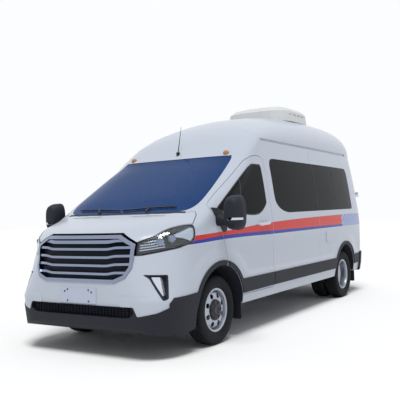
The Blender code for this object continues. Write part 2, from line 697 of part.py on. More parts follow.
def make_headlamp(name, left):
    lamp = crust(0.0, LAMP_DEPTH, lamp_zone(-FIT))
    cut(lamp, bonnet_zone(GAP / 2 + LAMP_GAP))
    if not left:
        lamp = replace_by_mirror(lamp)
    return finish(lamp, name, (0.35, 0.38, 0.45), 0.1)


def replace_by_mirror(solid):
    other = mirrored(solid)
    bpy.data.objects.remove(solid, do_unlink=True)
    return other


def make_front_bumper():
    zone = prism("X", BUMPER_LINE, -1.30, 1.30)
    cut(zone, prism("X", grow(LOWER_LINE, FIT), -1.40, 1.40), front_zone(GRILLE_LINE, FIT))
    bumper = crust(0.0, BUMPER_WALL, zone)
    plate = [(-0.230, 0.512), (0.230, 0.512), (0.230, 0.662), (-0.230, 0.662)]
    add(bumper, keep(front_zone(plate, 0.0, FRONT_END - 0.006, -2.930), core(-0.010)))
    return finish(bumper, "front_bumper", WHITE, 0.25)


def make_lower_bumper():
    lower = crust(-CLADDING, BUMPER_WALL, prism("X", LOWER_LINE, -1.30, 1.30))
    cut(lower, recess(0.028, front_zone(INTAKE_LINE, 0.0, -3.20, -2.60)))
    return finish(lower, "lower_bumper", BLACK, 0.6)


def make_grille():
    grille = crust(-0.006, 0.055, front_zone(GRILLE_LINE, -FIT))
    for i in range(5):
        low = 0.742 + 0.079 * i
        wide = 0.520 if i in (0, 4) else 0.575
        outline = [
            (-wide + 0.03, low), (wide - 0.03, low), (wide, low + 0.02), (wide - 0.02, low + 0.052),
            (-wide + 0.02, low + 0.052), (-wide, low + 0.02),
        ]
        cut(grille, recess(0.038, front_zone(outline)))
    return finish(grille, "grille", CHROME, 0.2, 1.0)


def make_front_door(name, left):
    door = crust(0.0, DOOR_WALL, side_zone(DOOR_LINE, -GAP / 2, DOOR_INNER_X))
    add(door, crust(-CLADDING, 0.020, side_zone(DOOR_BAND)))
    cut(door, wheel_house(FRONT_AXLE_Y, FRONT_HOUSE_X, 0.0))
    cut(door, side_zone(DOOR_GLASS_LINE))
    handle = crust(-0.034, 0.010, side_zone(DOOR_HANDLE))
    cut(handle, crust(-0.022, -0.001, side_zone(HANDLE_ROOM)))
    add(door, handle)
    if not left:
        door = replace_by_mirror(door)
    finish(door, name, WHITE, 0.25)
    return set_axis(door, DOOR_HINGE[0] if left else -DOOR_HINGE[0], DOOR_HINGE[1], 0.90)


def make_side_glass(name, outline, left):
    pane = crust(GLASS_SINK, GLASS_SINK + GLASS_WALL, side_zone(outline, -FIT))
    if not left:
        pane = replace_by_mirror(pane)
    return finish(pane, name, GLASS, 0.08)


def make_sliding_door():
    door = crust(0.0, DOOR_WALL, side_zone(SLIDING_LINE, -GAP / 2))
    cut(door, side_zone(SLIDE_FRONT_GLASS))
    add(door, crust(-0.030, 0.010, side_zone(SLIDE_HANDLE)))
    return finish(replace_by_mirror(door), "sliding_door", WHITE, 0.25)


def make_rear_door(name, left):
    """Rear door, thinner along its hinged edge so that the edge clears the frame as it turns."""
    door = crust(0.0, DOOR_WALL, front_zone(REAR_DOOR_LINE, -GAP / 2, 2.70, 3.20))
    cut(door, front_zone(REAR_GLASS_LINE, 0.0, 2.70, 3.20))
    cut(door, keep(core(REAR_FLANGE), front_zone(REAR_EDGE, 0.0, 2.70, 3.20)))
    if not left:
        door = replace_by_mirror(door)
    finish(door, name, WHITE, 0.25)
    return set_axis(door, REAR_HINGE[0] if left else -REAR_HINGE[0], REAR_HINGE[1], 1.40)


def make_rear_glass(name, left):
    pane = crust(GLASS_SINK, GLASS_SINK + GLASS_WALL, front_zone(REAR_GLASS_LINE, -FIT, 2.70, 3.20))
    if not left:
        pane = replace_by_mirror(pane)
    return finish(pane, name, GLASS, 0.08)


def make_tail_lamp(name, left):
    lamp = crust(-0.004, 0.040, tail_zone(-FIT))
    if not left:
        lamp = replace_by_mirror(lamp)
    return finish(lamp, name, (0.45, 0.02, 0.02), 0.15)


def make_rear_bumper():
    bumper = crust(-0.025, BUMPER_WALL, rear_bumper_zone(-FIT))
    return finish(bumper, "rear_bumper", BLACK, 0.6)


def make_side_cladding(name, left):
    band = crust(-CLADDING, -FIT, side_zone(SIDE_BAND))
    if not left:
        band = replace_by_mirror(band)
    return finish(band, name, BLACK, 0.6)


def make_mirror(name, left):
    """Door mirror: tall housing on a short arm that stands on the door's front corner."""
    sections = [
        (-2.140, 0.055, 1.230, 1.440), (-2.100, 0.085, 1.185, 1.485), (-2.040, 0.100, 1.165, 1.505),
        (-1.975, 0.100, 1.160, 1.510),
    ]
    middle = HALF_WIDTH + 0.194
    rings = []
    for y, half_x, z0, z1 in sections:
        ring = []
        for i in range(16):
            angle = 2 * math.pi * i / 16
            c, s = math.cos(angle), math.sin(angle)
            x = middle + half_x * math.copysign(abs(c) ** 0.6, c)
            z = (z0 + z1) / 2 + (z1 - z0) / 2 * math.copysign(abs(s) ** 0.6, s)
            ring.append(Vector((x, y, z)))
        rings.append(ring)
    mirror = loft("mirror", rings)
    arm_plan = [
        (-0.071, -1.905), (-0.071, -1.960), (0.019, -1.962), (0.099, -2.020), (0.169, -2.020),
        (0.169, -1.985), (0.059, -1.905),
    ]
    add(mirror, prism("Z", [(HALF_WIDTH + x, y) for x, y in arm_plan], 1.205, 1.285))
    cut(mirror, core(-FIT))
    if not left:
        mirror = replace_by_mirror(mirror)
    return finish(mirror, name, BLACK, 0.4)


def revolve(name, profile, x, y, z, segments=WHEEL_SEGMENTS):
    """A closed (offset, radius) profile turned round a line along X."""
    bm = bmesh.new()
    verts = [bm.verts.new((offset, 0.0, radius)) for offset, radius in profile]
    edges = [bm.edges.new((verts[i], verts[(i + 1) % len(verts)])) for i in range(len(verts))]
    bmesh.ops.spin(bm, geom=verts + edges, axis=(1.0, 0.0, 0.0), cent=(0.0, 0.0, 0.0),
                   steps=segments, angle=2 * math.pi, use_merge=True)
    bmesh.ops.remove_doubles(bm, verts=bm.verts, dist=0.00001)
    bmesh.ops.translate(bm, verts=bm.verts, vec=(x, y, z))
    return new_object(name, bm)


TYRE_PROFILE = [
    (-RIM_HALF + 0.0085, BEAD_RADIUS + FIT), (RIM_HALF - 0.0085, BEAD_RADIUS + FIT),
    (RIM_HALF - 0.0085, 0.224), (0.094, 0.255), (TYRE_WIDTH / 2, 0.300), (0.086, 0.335),
    (0.060, TYRE_RADIUS), (-0.060, TYRE_RADIUS), (-0.086, 0.335), (-TYRE_WIDTH / 2, 0.300),
    (-0.094, 0.255), (-RIM_HALF + 0.0085, 0.224),
]


def make_tyre(name, x, y):
    tyre = revolve(name, TYRE_PROFILE, x, y, TYRE_RADIUS)
    finish(tyre, name, RUBBER, 0.9)
    return set_axis(tyre, x, y, TYRE_RADIUS)


def turned(profile, x, y):
    """A solid of revolution: the profile's two ends lie on the wheel's axis."""
    bm = bmesh.new()
    verts = [bm.verts.new((offset, 0.0, radius)) for offset, radius in profile]
    edges = [bm.edges.new(pair) for pair in zip(verts, verts[1:])]
    bmesh.ops.spin(bm, geom=verts + edges, axis=(1.0, 0.0, 0.0), cent=(0.0, 0.0, 0.0),
                   steps=WHEEL_SEGMENTS, angle=2 * math.pi, use_merge=True)
    bmesh.ops.remove_doubles(bm, verts=bm.verts, dist=0.00001)
    bmesh.ops.dissolve_degenerate(bm, edges=bm.edges, dist=0.00001)
    bmesh.ops.translate(bm, verts=bm.verts, vec=(x, y, TYRE_RADIUS))
    return new_object("turned", bm)


def barrel(centre):
    """Outside of a rim from its outer edge over both bead seats to its inner edge."""
    outer, inner = centre + RIM_HALF, centre - RIM_HALF
    return [
        (outer, 0.196), (outer, RIM_RADIUS), (outer - 0.008, RIM_RADIUS), (outer - 0.008, BEAD_RADIUS),
        (inner + 0.008, BEAD_RADIUS), (inner + 0.008, RIM_RADIUS), (inner, RIM_RADIUS), (inner, 0.196),
    ]


def cut_hand_holes(rim, x, y, start, end):
    for i in range(8):
        angle = 2 * math.pi * (i + 0.5) / 8
        centre = (y + 0.154 * math.cos(angle), TYRE_RADIUS + 0.154 * math.sin(angle))
        cut(rim, rod("X", centre, 0.017, *sorted((x + start, x + end)), 6))


def make_front_rim(name, side):
    x, y = side * FRONT_WHEEL_X, FRONT_AXLE_Y
    profile = (
        [(0.085, 0.000), (0.085, 0.072), (0.052, 0.080), (0.052, 0.125), (0.042, 0.186)]
        + barrel(0.0)
        + [(0.018, 0.186), (FRONT_HUB, 0.120), (FRONT_HUB, 0.000)]
    )
    rim = turned([(side * offset, radius) for offset, radius in profile], x, y)
    cut_hand_holes(rim, x, y, 0.0, side * 0.12)
    finish(rim, name, STEEL, 0.35, 0.8)
    return set_axis(rim, x, y, TYRE_RADIUS)


def make_rear_rims(name, side):
    """Twin rims bolted disc to disc, with the hub they share."""
    x, y = side * (REAR_OUTER_X + REAR_INNER_X) / 2, REAR_AXLE_Y
    half = (REAR_OUTER_X - REAR_INNER_X) / 2
    inner_side = [(-offset, radius) for offset, radius in reversed(barrel(half))]
    profile = (
        [(0.095, 0.000), (0.095, 0.062), (0.030, 0.075), (0.024, 0.105), (half - 0.028, 0.186)]
        + barrel(half)
        + [(half - 0.052, 0.186), (0.010, 0.122), (-0.010, 0.122), (0.052 - half, 0.186)]
        + inner_side
        + [(0.028 - half, 0.186), (-0.024, 0.105), (-REAR_HUB, 0.060), (-REAR_HUB, 0.000)]
    )
    rims = turned([(side * offset, radius) for offset, radius in profile], x, y)
    finish(rims, name, STEEL, 0.35, 0.8)
    return set_axis(rims, x, y, TYRE_RADIUS)


def make_knuckle(name, side):
    """Steering knuckle: upright on the kingpin, stub axle, brake disc shield and steering arm."""
    y = FRONT_AXLE_Y
    x = KINGPIN_X
    knuckle = box(x - 0.030, x + 0.030, y - 0.045, y + 0.045, KNUCKLE_BOTTOM, 0.470)
    add(knuckle, rod("X", (y, TYRE_RADIUS), BRAKE_RADIUS, x + 0.023, x + 0.045, 16))
    add(knuckle, rod("X", (y, TYRE_RADIUS), 0.038, x + 0.035, FRONT_WHEEL_X + FRONT_HUB - FIT, 16))
    add(knuckle, box(x - 0.085, x - 0.005, y + 0.040, y + 0.150, 0.330, 0.365))
    if side < 0:
        knuckle = replace_by_mirror(knuckle)
    finish(knuckle, name, GREY, 0.6, 0.6)
    return set_axis(knuckle, side * KINGPIN_X, y, TYRE_RADIUS)


def make_front_subframe():
    """Cross beam with a lower arm under each knuckle and a post up to each rail."""
    y = FRONT_AXLE_Y
    x = KINGPIN_X
    frame = box(-0.470, 0.470, y - 0.110, y + 0.110, ARM_BOTTOM, 0.270)
    outline = [
        (0.440, y - 0.100), (x - 0.045, y - 0.050), (x + 0.010, y - 0.045), (x + 0.010, y + 0.045),
        (x - 0.045, y + 0.050), (0.440, y + 0.100),
    ]
    for arm in both_sides(prism("Z", outline, ARM_BOTTOM, KNUCKLE_BOTTOM - FIT)):
        add(frame, arm)
    for post in both_sides(box(0.365, 0.435, y - 0.080, y + 0.080, 0.260, RAIL_BOTTOM - FIT)):
        add(frame, post)
    return finish(frame, "front_subframe", BLACK, 0.7)


def make_chassis():
    """Two long rails with cross members, under the floor."""
    top = FLOOR_BOTTOM - FIT
    low = RAIL_BOTTOM
    frame = box(0.360, 0.440, -2.050, 2.800, low, top)
    add(frame, box(-0.440, -0.360, -2.050, 2.800, low, top))
    for y in (-2.000, -1.250, -0.400, 0.500, 1.250, 2.300, 2.760):
        add(frame, box(-0.400, 0.400, y - 0.030, y + 0.030, low + 0.030, top - 0.010))
    for y in (-0.900, 0.100, 1.150):
        for outrigger in both_sides(box(0.400, SILL_INNER_X - FIT, y - 0.025, y + 0.025, 0.520, top)):
            add(frame, outrigger)
    for horn in both_sides(box(0.370, 0.430, -2.500, -2.000, low, 0.570)):
        add(frame, horn)
    for engine_mount in both_sides(box(ENGINE_HALF + FIT, 0.380, -2.420, -2.350, 0.490, 0.550)):
        add(frame, engine_mount)
    return finish(frame, "chassis_frame", BLACK, 0.7)


def make_engine():
    engine = box(-ENGINE_HALF, ENGINE_HALF, -2.640, -2.140, 0.420, 1.060)
    return finish(engine, "engine_block", GREY, 0.6, 0.5)


def make_rear_axle():
    y = REAR_AXLE_Y
    reach = (REAR_OUTER_X + REAR_INNER_X) / 2 - REAR_HUB - FIT
    axle = rod("X", (y, TYRE_RADIUS), 0.045, -reach, reach, 16)
    add(axle, rod("X", (y, TYRE_RADIUS), 0.130, -0.110, 0.110, 16))
    add(axle, rod("Y", (0.0, TYRE_RADIUS), 0.050, y - 0.260, y, 12))
    top = RAIL_BOTTOM - FIT
    spring = [
        (y - 0.640, top), (y - 0.640, 0.430), (y - 0.450, 0.350), (y - 0.150, 0.290), (y + 0.150, 0.290),
        (y + 0.450, 0.350), (y + 0.640, 0.430), (y + 0.640, top), (y + 0.600, top), (y + 0.420, 0.385),
        (y + 0.150, 0.325), (y - 0.150, 0.325), (y - 0.420, 0.385), (y - 0.600, top),
    ]
    for leaf in both_sides(prism("X", spring, 0.370, 0.430)):
        add(axle, leaf)
    return finish(axle, "rear_axle", BLACK, 0.7)


def make_fuel_tank():
    tank = box(0.450, 0.800, -0.350, 0.450, 0.320, 0.520 - FIT)
    bevel = tank.modifiers.new("round", "BEVEL")
    bevel.width = 0.035
    bevel.segments = 3
    graph = bpy.context.evaluated_depsgraph_get()
    tank.data = bpy.data.meshes.new_from_object(tank.evaluated_get(graph))
    tank.modifiers.clear()
    return finish(tank, "fuel_tank", BLACK, 0.5)


def make_exhaust():
    """Exhaust pipe with its silencer, hung under the right rail."""
    pipe = rod("Y", (-0.560, 0.440), 0.028, -1.350, 1.200, 16)
    add(pipe, rod("Y", (-0.600, 0.420), 0.085, -0.250, 0.400, 16))
    add(pipe, box(-0.575, -0.545, -1.200, -1.170, 0.440, FLOOR_BOTTOM - FIT))
    add(pipe, box(-0.575, -0.545, 0.600, 0.630, 0.440, FLOOR_BOTTOM - FIT))
    return finish(pipe, "exhaust", STEEL, 0.5, 0.8)


def make_dashboard():
    """Dashboard with the steering column and wheel on the driver's side."""
    outline = [
        (-2.0297, 0.960), (-1.800, 0.960), (-1.700, 1.060), (-1.700, 1.180), (-1.760, 1.250),
        (-1.900, 1.290), (-2.0297, 1.300),
    ]
    dash = prism("X", outline, -0.900, 0.900)
    add(dash, box(-0.120, 0.120, -1.900, -1.720, FLOOR_TOP + FIT, 1.050))
    bm = bmesh.new()
    tilt = Matrix.Rotation(math.radians(-62.0), 4, "X")
    rings = []
    for i in range(20):
        a = 2 * math.pi * i / 20
        ring = []
        for k in range(6):
            b = 2 * math.pi * k / 6
            r = 0.185 + 0.015 * math.cos(b)
            ring.append(bm.verts.new(Vector((r * math.cos(a), r * math.sin(a), 0.015 * math.sin(b)))))
        rings.append(ring)
    for i in range(20):
        for k in range(6):
            a, b = rings[i], rings[(i + 1) % 20]
            bm.faces.new((a[k], b[k], b[(k + 1) % 6], a[(k + 1) % 6]))
    place = Matrix.Translation((0.460, -1.545, 1.255)) @ tilt
    bmesh.ops.transform(bm, matrix=place, verts=bm.verts)
    wheel = new_object("wheel", bm)
    spokes = prism("Z", [(-0.175, -0.020), (0.175, -0.020), (0.175, 0.020), (-0.175, 0.020)], -0.010, 0.010)
    spokes.data.transform(place)
    hub = rod("Z", (0.0, 0.0), 0.050, -0.300, 0.020, 16)
    hub.data.transform(place)
    add(dash, wheel, spokes, hub)
    return finish(dash, "dashboard", BLACK, 0.7)


def make_seat(name, x, width, y=-1.130):
    """Cab seat on a pedestal: cushion, leaning back and head restraint."""
    half = width / 2
    seat = box(x - half + 0.060, x + half - 0.060, y - 0.230, y + 0.200, FLOOR_TOP + FIT, 0.910)
    cushion = [
        (y - 0.280, 0.900), (y + 0.240, 0.890), (y + 0.240, 1.000), (y - 0.220, 1.040), (y - 0.280, 1.010),
    ]
    back = [(y + 0.140, 0.960), (y + 0.250, 0.960), (y + 0.400, 1.600), (y + 0.300, 1.620)]
    head_rest = [(y + 0.320, 1.600), (y + 0.395, 1.600), (y + 0.420, 1.800), (y + 0.350, 1.800)]
    add(seat, prism("X", cushion, x - half, x + half))
    add(seat, prism("X", back, x - half, x + half))
    add(seat, prism("X", head_rest, x - 0.120, x + 0.120))
    return finish(seat, name, GREY, 0.9)


def make_dental_chair():
    """Patient's chair: base plate, column, long reclined couch, head rest and the lamp's post."""
    x, y = -0.150, 0.600
    chair = box(x - 0.250, x + 0.250, y - 0.350, y + 0.350, FLOOR_TOP + FIT, 0.740)
    add(chair, box(x - 0.110, x + 0.110, y - 0.150, y + 0.200, 0.730, 1.050))
    couch = [
        (y - 0.900, 1.060), (y - 0.880, 1.020), (y - 0.300, 1.030), (y + 0.250, 1.010), (y + 0.850, 1.330),
        (y + 0.820, 1.400), (y + 0.200, 1.110), (y - 0.250, 1.130), (y - 0.880, 1.120),
    ]
    head_rest = [(y + 0.820, 1.310), (y + 1.050, 1.430), (y + 1.020, 1.500), (y + 0.790, 1.390)]
    add(chair, prism("X", couch, x - 0.270, x + 0.270))
    add(chair, prism("X", head_rest, x - 0.130, x + 0.130))
    return finish(chair, "dental_chair", (0.10, 0.35, 0.38), 0.6)


def make_cabinet():
    """Instrument cabinet with its worktop and basin along the left wall."""
    cabinet = box(0.560, 0.900, -0.350, 1.250, FLOOR_TOP + FIT, 1.230)
    add(cabinet, box(0.530, 0.915, -0.370, 1.270, 1.220, 1.260))
    basin = rod("Z", (0.720, 0.950), 0.130, 1.150, 1.300, 20)
    cut(cabinet, basin)
    return finish(cabinet, "cabinet", WHITE, 0.5)


def main():
    clear_scene()
    make_body()
    make_roof()
    make_roof_unit()
    make_antenna()
    make_marker_lamp("marker_lamp_left", 1)
    make_marker_lamp("marker_lamp_right", -1)
    make_bonnet()
    make_windscreen()
    make_front_bumper()
    make_lower_bumper()
    make_grille()
    make_sliding_door()
    make_rear_bumper()
    for side, word in ((1, "left"), (-1, "right")):
        left = side > 0
        make_headlamp("headlamp_" + word, left)
        make_front_door("front_door_" + word, left)
        make_side_glass("door_glass_" + word, DOOR_GLASS_LINE, left)
        make_mirror("mirror_" + word, left)
        make_side_cladding("side_cladding_" + word, left)
        make_rear_door("rear_door_" + word, left)
        make_rear_glass("rear_glass_" + word, left)
        make_tail_lamp("tail_lamp_" + word, left)
        make_knuckle("knuckle_" + word, side)
        make_front_rim("front_rim_" + word, side)
        make_tyre("front_tyre_" + word, side * FRONT_WHEEL_X, FRONT_AXLE_Y)
        make_rear_rims("rear_rims_" + word, side)
        make_tyre("rear_tyre_outer_" + word, side * REAR_OUTER_X, REAR_AXLE_Y)
        make_tyre("rear_tyre_inner_" + word, side * REAR_INNER_X, REAR_AXLE_Y)
    make_side_glass("side_glass_left", SIDE_GLASS_LINE, True)
    make_side_glass("side_glass_right", SLIDE_REAR_GLASS, False)
    make_side_glass("sliding_door_glass", SLIDE_FRONT_GLASS, False)
    make_chassis()
    make_front_subframe()
    make_engine()
    make_rear_axle()
    make_fuel_tank()
    make_exhaust()
    make_dashboard()
    make_seat("driver_seat", 0.460, 0.500)
    make_seat("passenger_seat", -0.400, 0.780)
    make_dental_chair()
    make_cabinet()


main()
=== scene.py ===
import math

import bmesh
import bpy
from mathutils import Matrix, Vector


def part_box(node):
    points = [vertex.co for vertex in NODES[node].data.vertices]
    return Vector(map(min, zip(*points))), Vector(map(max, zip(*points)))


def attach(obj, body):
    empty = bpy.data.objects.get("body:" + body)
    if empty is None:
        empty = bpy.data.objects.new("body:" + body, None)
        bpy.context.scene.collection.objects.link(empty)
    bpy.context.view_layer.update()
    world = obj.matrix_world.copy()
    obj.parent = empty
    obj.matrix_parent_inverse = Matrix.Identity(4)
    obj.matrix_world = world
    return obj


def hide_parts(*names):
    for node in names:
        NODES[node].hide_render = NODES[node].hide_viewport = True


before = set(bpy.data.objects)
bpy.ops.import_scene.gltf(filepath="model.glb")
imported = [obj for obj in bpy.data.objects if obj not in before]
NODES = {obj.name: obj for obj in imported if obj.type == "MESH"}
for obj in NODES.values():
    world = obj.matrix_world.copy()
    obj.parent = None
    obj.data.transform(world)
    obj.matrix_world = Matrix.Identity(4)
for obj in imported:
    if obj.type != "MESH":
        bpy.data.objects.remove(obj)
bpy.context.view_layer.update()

VAN = "van_body"
SIDES = {1: "left", -1: "right"}

# Sizes read from the frame
FRONT_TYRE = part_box("front_tyre_left")
REAR_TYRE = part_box("rear_tyre_outer_left")
REAR_INNER_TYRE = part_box("rear_tyre_inner_left")
TYRE_RADIUS = (FRONT_TYRE[1].z - FRONT_TYRE[0].z) / 2
FRONT_AXLE_Y = (FRONT_TYRE[0].y + FRONT_TYRE[1].y) / 2
REAR_AXLE_Y = (REAR_TYRE[0].y + REAR_TYRE[1].y) / 2
FRONT_WHEEL_X = (FRONT_TYRE[0].x + FRONT_TYRE[1].x) / 2
REAR_OUTER_X = (REAR_TYRE[0].x + REAR_TYRE[1].x) / 2
REAR_INNER_X = (REAR_INNER_TYRE[0].x + REAR_INNER_TYRE[1].x) / 2
FRONT_END = FRONT_AXLE_Y - 1.015
REAR_END = -FRONT_END
HALF_WIDTH = 1.031
ROOF_HEIGHT = 2.755

# Walls and gaps, as in the solids
FIT = 0.0003
GAP = 0.006
REAR_GAP = 0.009
REAR_FLANGE = 0.026
BONNET_GAP = 0.008
BONNET_FLANGE = 0.014
LAMP_GAP = 0.003
WALL = 0.078
DOOR_WALL = 0.052
ROOF_WALL = 0.060
BONNET_WALL = 0.028
BUMPER_WALL = 0.045
GLASS_SINK = 0.003
GLASS_WALL = 0.006
SEAL_LAYER = (0.0015, 0.020)
LAMP_DEPTH = 0.085
PLATE_FACE = FRONT_END - 0.006
CLADDING = 0.012
FLOOR_TOP = 0.700
GUTTER_Z = 2.195
SILL_BOTTOM = 0.360
SILL_INNER_X = 0.880
FLOOR_BOTTOM = 0.610
ARCH_Z = 0.350
ARCH_RADIUS = 0.458
FLARE_RADIUS = 0.505
ARCH_WALL = 0.028
FRONT_HOUSE_X = 0.500
REAR_HOUSE_X = 0.510
DOOR_BOTTOM = 0.455
DOOR_REAR_Y = -0.745
DOOR_INNER_X = 0.882
C_PILLAR_Y = 0.665
ARCHES = ((FRONT_AXLE_Y, FRONT_HOUSE_X, "front"), (REAR_AXLE_Y, REAR_HOUSE_X, "rear"))

# The body's windscreen opening runs up into the roof's joint above this height
SCREEN_TOP = 1.980
SCREEN_RISE = 0.080

# How far the zones that cut out a panel reach beyond the van
BESIDE = 1.30
BEFORE = -3.20
BEHIND = 3.20

# The photo's camera: place, turn and focal length in pixels of the 400-pixel frame
CAMERA_PLACE = (4.172, -7.351, 1.327)
CAMERA_YAW = 32.19
CAMERA_PITCH = 1.34
CAMERA_ROLL = -1.76
FOCAL_PIXELS = 614.7
FRAME_PIXELS = 400
SENSOR = 36.0


# Curves of the body's form

def smooth_curve(table):
    """Monotone cubic through (position, value) pairs, held flat beyond both ends."""
    xs = [pair[0] for pair in table]
    ys = [pair[1] for pair in table]
    slopes = [(ys[i + 1] - ys[i]) / (xs[i + 1] - xs[i]) for i in range(len(xs) - 1)]
    tangents = [slopes[0]]
    for left, right in zip(slopes, slopes[1:]):
        tangents.append(0.0 if left * right <= 0 else 2 * left * right / (left + right))
    tangents.append(slopes[-1])

    def value(x):
        if x <= xs[0]:
            return ys[0]
        if x >= xs[-1]:
            return ys[-1]
        i = max(k for k in range(len(xs) - 1) if xs[k] <= x)
        h = xs[i + 1] - xs[i]
        t = (x - xs[i]) / h
        return (
            ys[i] * (1 + 2 * t) * (1 - t) ** 2
            + tangents[i] * h * t * (1 - t) ** 2
            + ys[i + 1] * t * t * (3 - 2 * t)
            + tangents[i + 1] * h * t * t * (t - 1)
        )

    return value


side_profile = smooth_curve([
    (0.20, 0.960), (0.36, 0.990), (0.50, 1.012), (0.70, 1.024), (1.00, HALF_WIDTH),
    (1.20, 1.024), (1.45, 0.993), (1.75, 0.950), (2.00, 0.905), (2.20, 0.865),
])
low_plan = smooth_curve([
    (FRONT_END, 0.450), (-2.958, 0.620), (-2.940, 0.740), (-2.895, 0.840), (-2.807, 0.925),
    (-2.740, 0.965), (-2.640, 0.995), (-2.500, 1.012), (-2.200, 1.022), (-1.700, HALF_WIDTH),
    (1.200, HALF_WIDTH), (2.000, 1.020), (2.500, 0.994), (2.680, 0.965), (2.800, 0.920),
    (2.880, 0.865), (2.930, 0.800), (2.958, 0.700), (REAR_END, 0.560),
])
high_plan = smooth_curve([
    (FRONT_END, 0.180), (-2.950, 0.330), (-2.915, 0.480), (-2.875, 0.590), (-2.840, 0.660),
    (-2.770, 0.765), (-2.690, 0.850), (-2.600, 0.918), (-2.500, 0.960), (-2.380, 0.986),
    (-2.200, 1.008), (-1.900, 1.024), (-1.600, HALF_WIDTH), (1.200, HALF_WIDTH), (2.000, 1.020),
    (2.500, 0.994), (2.680, 0.965), (2.800, 0.920), (2.880, 0.865), (2.930, 0.800),
    (2.958, 0.700), (REAR_END, 0.560),
])
top_height = smooth_curve([
    (FRONT_END, 0.960), (-2.955, 1.080), (-2.920, 1.148), (-2.860, 1.190), (-2.700, 1.245),
    (-2.500, 1.300), (-2.360, 1.334), (-2.300, 1.354), (-2.040, 1.520), (-1.780, 1.680),
    (-1.520, 1.838), (-1.270, 1.990), (-1.100, 2.130), (-0.900, 2.290), (-0.650, 2.425),
    (-0.350, 2.530), (0.000, 2.610), (0.450, 2.680), (1.000, 2.730), (1.600, ROOF_HEIGHT),
    (2.300, ROOF_HEIGHT), (2.600, 2.735), (2.780, 2.690), (2.890, 2.610), (2.945, 2.520),
    (REAR_END, 2.400),
])
shoulder_height = smooth_curve([
    (FRONT_END, 0.780), (-2.900, 0.920), (-2.700, 1.010), (-2.400, 1.100), (-2.200, 1.160),
    (-2.018, 1.220), (-1.673, 1.400), (-1.250, 1.700), (-0.980, 1.960), (-0.800, 2.110),
    (-0.650, 2.195), (2.700, 2.195), (REAR_END, 2.050),
])
roundness = smooth_curve([
    (FRONT_END, 2.4), (-2.700, 3.2), (-2.300, 3.8), (-2.018, 4.0), (-1.673, 4.0), (-1.250, 3.8),
    (-0.950, 3.0), (-0.700, 2.3), (REAR_END, 2.15),
])
underside = smooth_curve([
    (FRONT_END, 0.400), (-2.940, 0.310), (-2.850, 0.255), (-2.600, 0.235), (-2.350, 0.260),
    (-2.100, SILL_BOTTOM), (2.300, SILL_BOTTOM), (2.700, 0.375), (2.900, 0.400), (REAR_END, 0.440),
])

# The pressed panels between the wheel arches lie this much deeper than the arches
PRESSING = 0.013
PRESSING_LOW = 0.655
PRESSING_LEDGE = 0.698
PRESSING_HIGH = 1.080
BULGE_INNER = 0.610
BULGE_OUTER = 0.690

BELT_Z = 0.940
LOW_ROWS = 26
MIDDLE_ROWS = 24
SHOULDER_ROWS = 16


def smoothstep(low, high, value):
    t = min(1.0, max(0.0, (value - low) / (high - low)))
    return t * t * (3 - 2 * t)


def pressing(y, z):
    """Depth of the pressed side panels below the smooth form, none over the wheel arches."""
    if not -2.55 < y < 2.62:
        return 0.0
    away = 1.0
    for axle in (FRONT_AXLE_Y, REAR_AXLE_Y):
        away *= smoothstep(BULGE_INNER, BULGE_OUTER, math.hypot(y - axle, (z - ARCH_Z) * 1.04))
    ends = smoothstep(-2.55, -2.35, y) * (1 - smoothstep(2.50, 2.62, y))
    rise = smoothstep(PRESSING_LOW, PRESSING_LEDGE, z) * (1 - smoothstep(0.80, PRESSING_HIGH, z))
    return PRESSING * away * rise * ends


def half_width(y, z):
    blend = min(1.0, max(0.0, (z - 0.55) / 0.45))
    plan = low_plan(y) * (1 - blend) + high_plan(y) * blend
    return side_profile(z) - HALF_WIDTH + plan


def slope(curve, y):
    return (curve(y + 0.002) - curve(y - 0.002)) / 0.004


def spaced(start, end, step):
    count = max(1, math.ceil((end - start) / step))
    return [start + (end - start) * i / count for i in range(count)]


STATIONS = (
    spaced(FRONT_END, -2.900, 0.010) + spaced(-2.900, -2.560, 0.025) + spaced(-2.560, -0.600, 0.045)
    + spaced(-0.600, 2.300, 0.075) + spaced(2.300, 2.760, 0.045) + spaced(2.760, REAR_END, 0.014)
    + [REAR_END]
)


def body_ring(y, inset):
    """One closed cross-section of the body, moved inwards by inset along the surface's own normal."""
    plan_slope = slope(lambda v: half_width(v, 0.9), y)
    length = math.hypot(1.0, plan_slope)
    back, across = plan_slope / length, 1.0 / length
    if y in (FRONT_END, REAR_END):
        back, across = math.copysign(1.0, -y), 0.0
    rise = slope(top_height, y)
    drop = max(0.0, math.hypot(1.0, rise) - back * rise) if inset > 0 else 1.0
    low = underside(y) + inset
    shoulder = shoulder_height(y)
    belt = min(BELT_Z, shoulder - 0.1)
    top = top_height(y) - inset * drop
    heights = [low + (belt - low) * i / LOW_ROWS for i in range(LOW_ROWS)]
    heights += [belt + (shoulder - belt) * i / MIDDLE_ROWS for i in range(MIDDLE_ROWS + 1)]
    side = [(max(0.03, half_width(y, z) - pressing(y, z) - inset * across), z) for z in heights]
    shoulder_x = side[-1][0]
    for step in range(1, SHOULDER_ROWS):
        angle = math.pi / 2 * step / SHOULDER_ROWS
        x = shoulder_x * math.cos(angle) ** (2 / roundness(y))
        side.append((x, shoulder + (top - shoulder) * math.sin(angle) ** (2 / roundness(y))))
    ring = side + [(0.0, top)] + [(-x, z) for x, z in reversed(side)]
    return [Vector((x, y + inset * back, z)) for x, z in ring]


# Solid modelling helpers

def new_object(name, bm, tidy=True):
    if tidy:
        bmesh.ops.recalc_face_normals(bm, faces=bm.faces)
    mesh = bpy.data.meshes.new(name)
    bm.to_mesh(mesh)
    bm.free()
    obj = bpy.data.objects.new(name, mesh)
    bpy.context.scene.collection.objects.link(obj)
    return obj


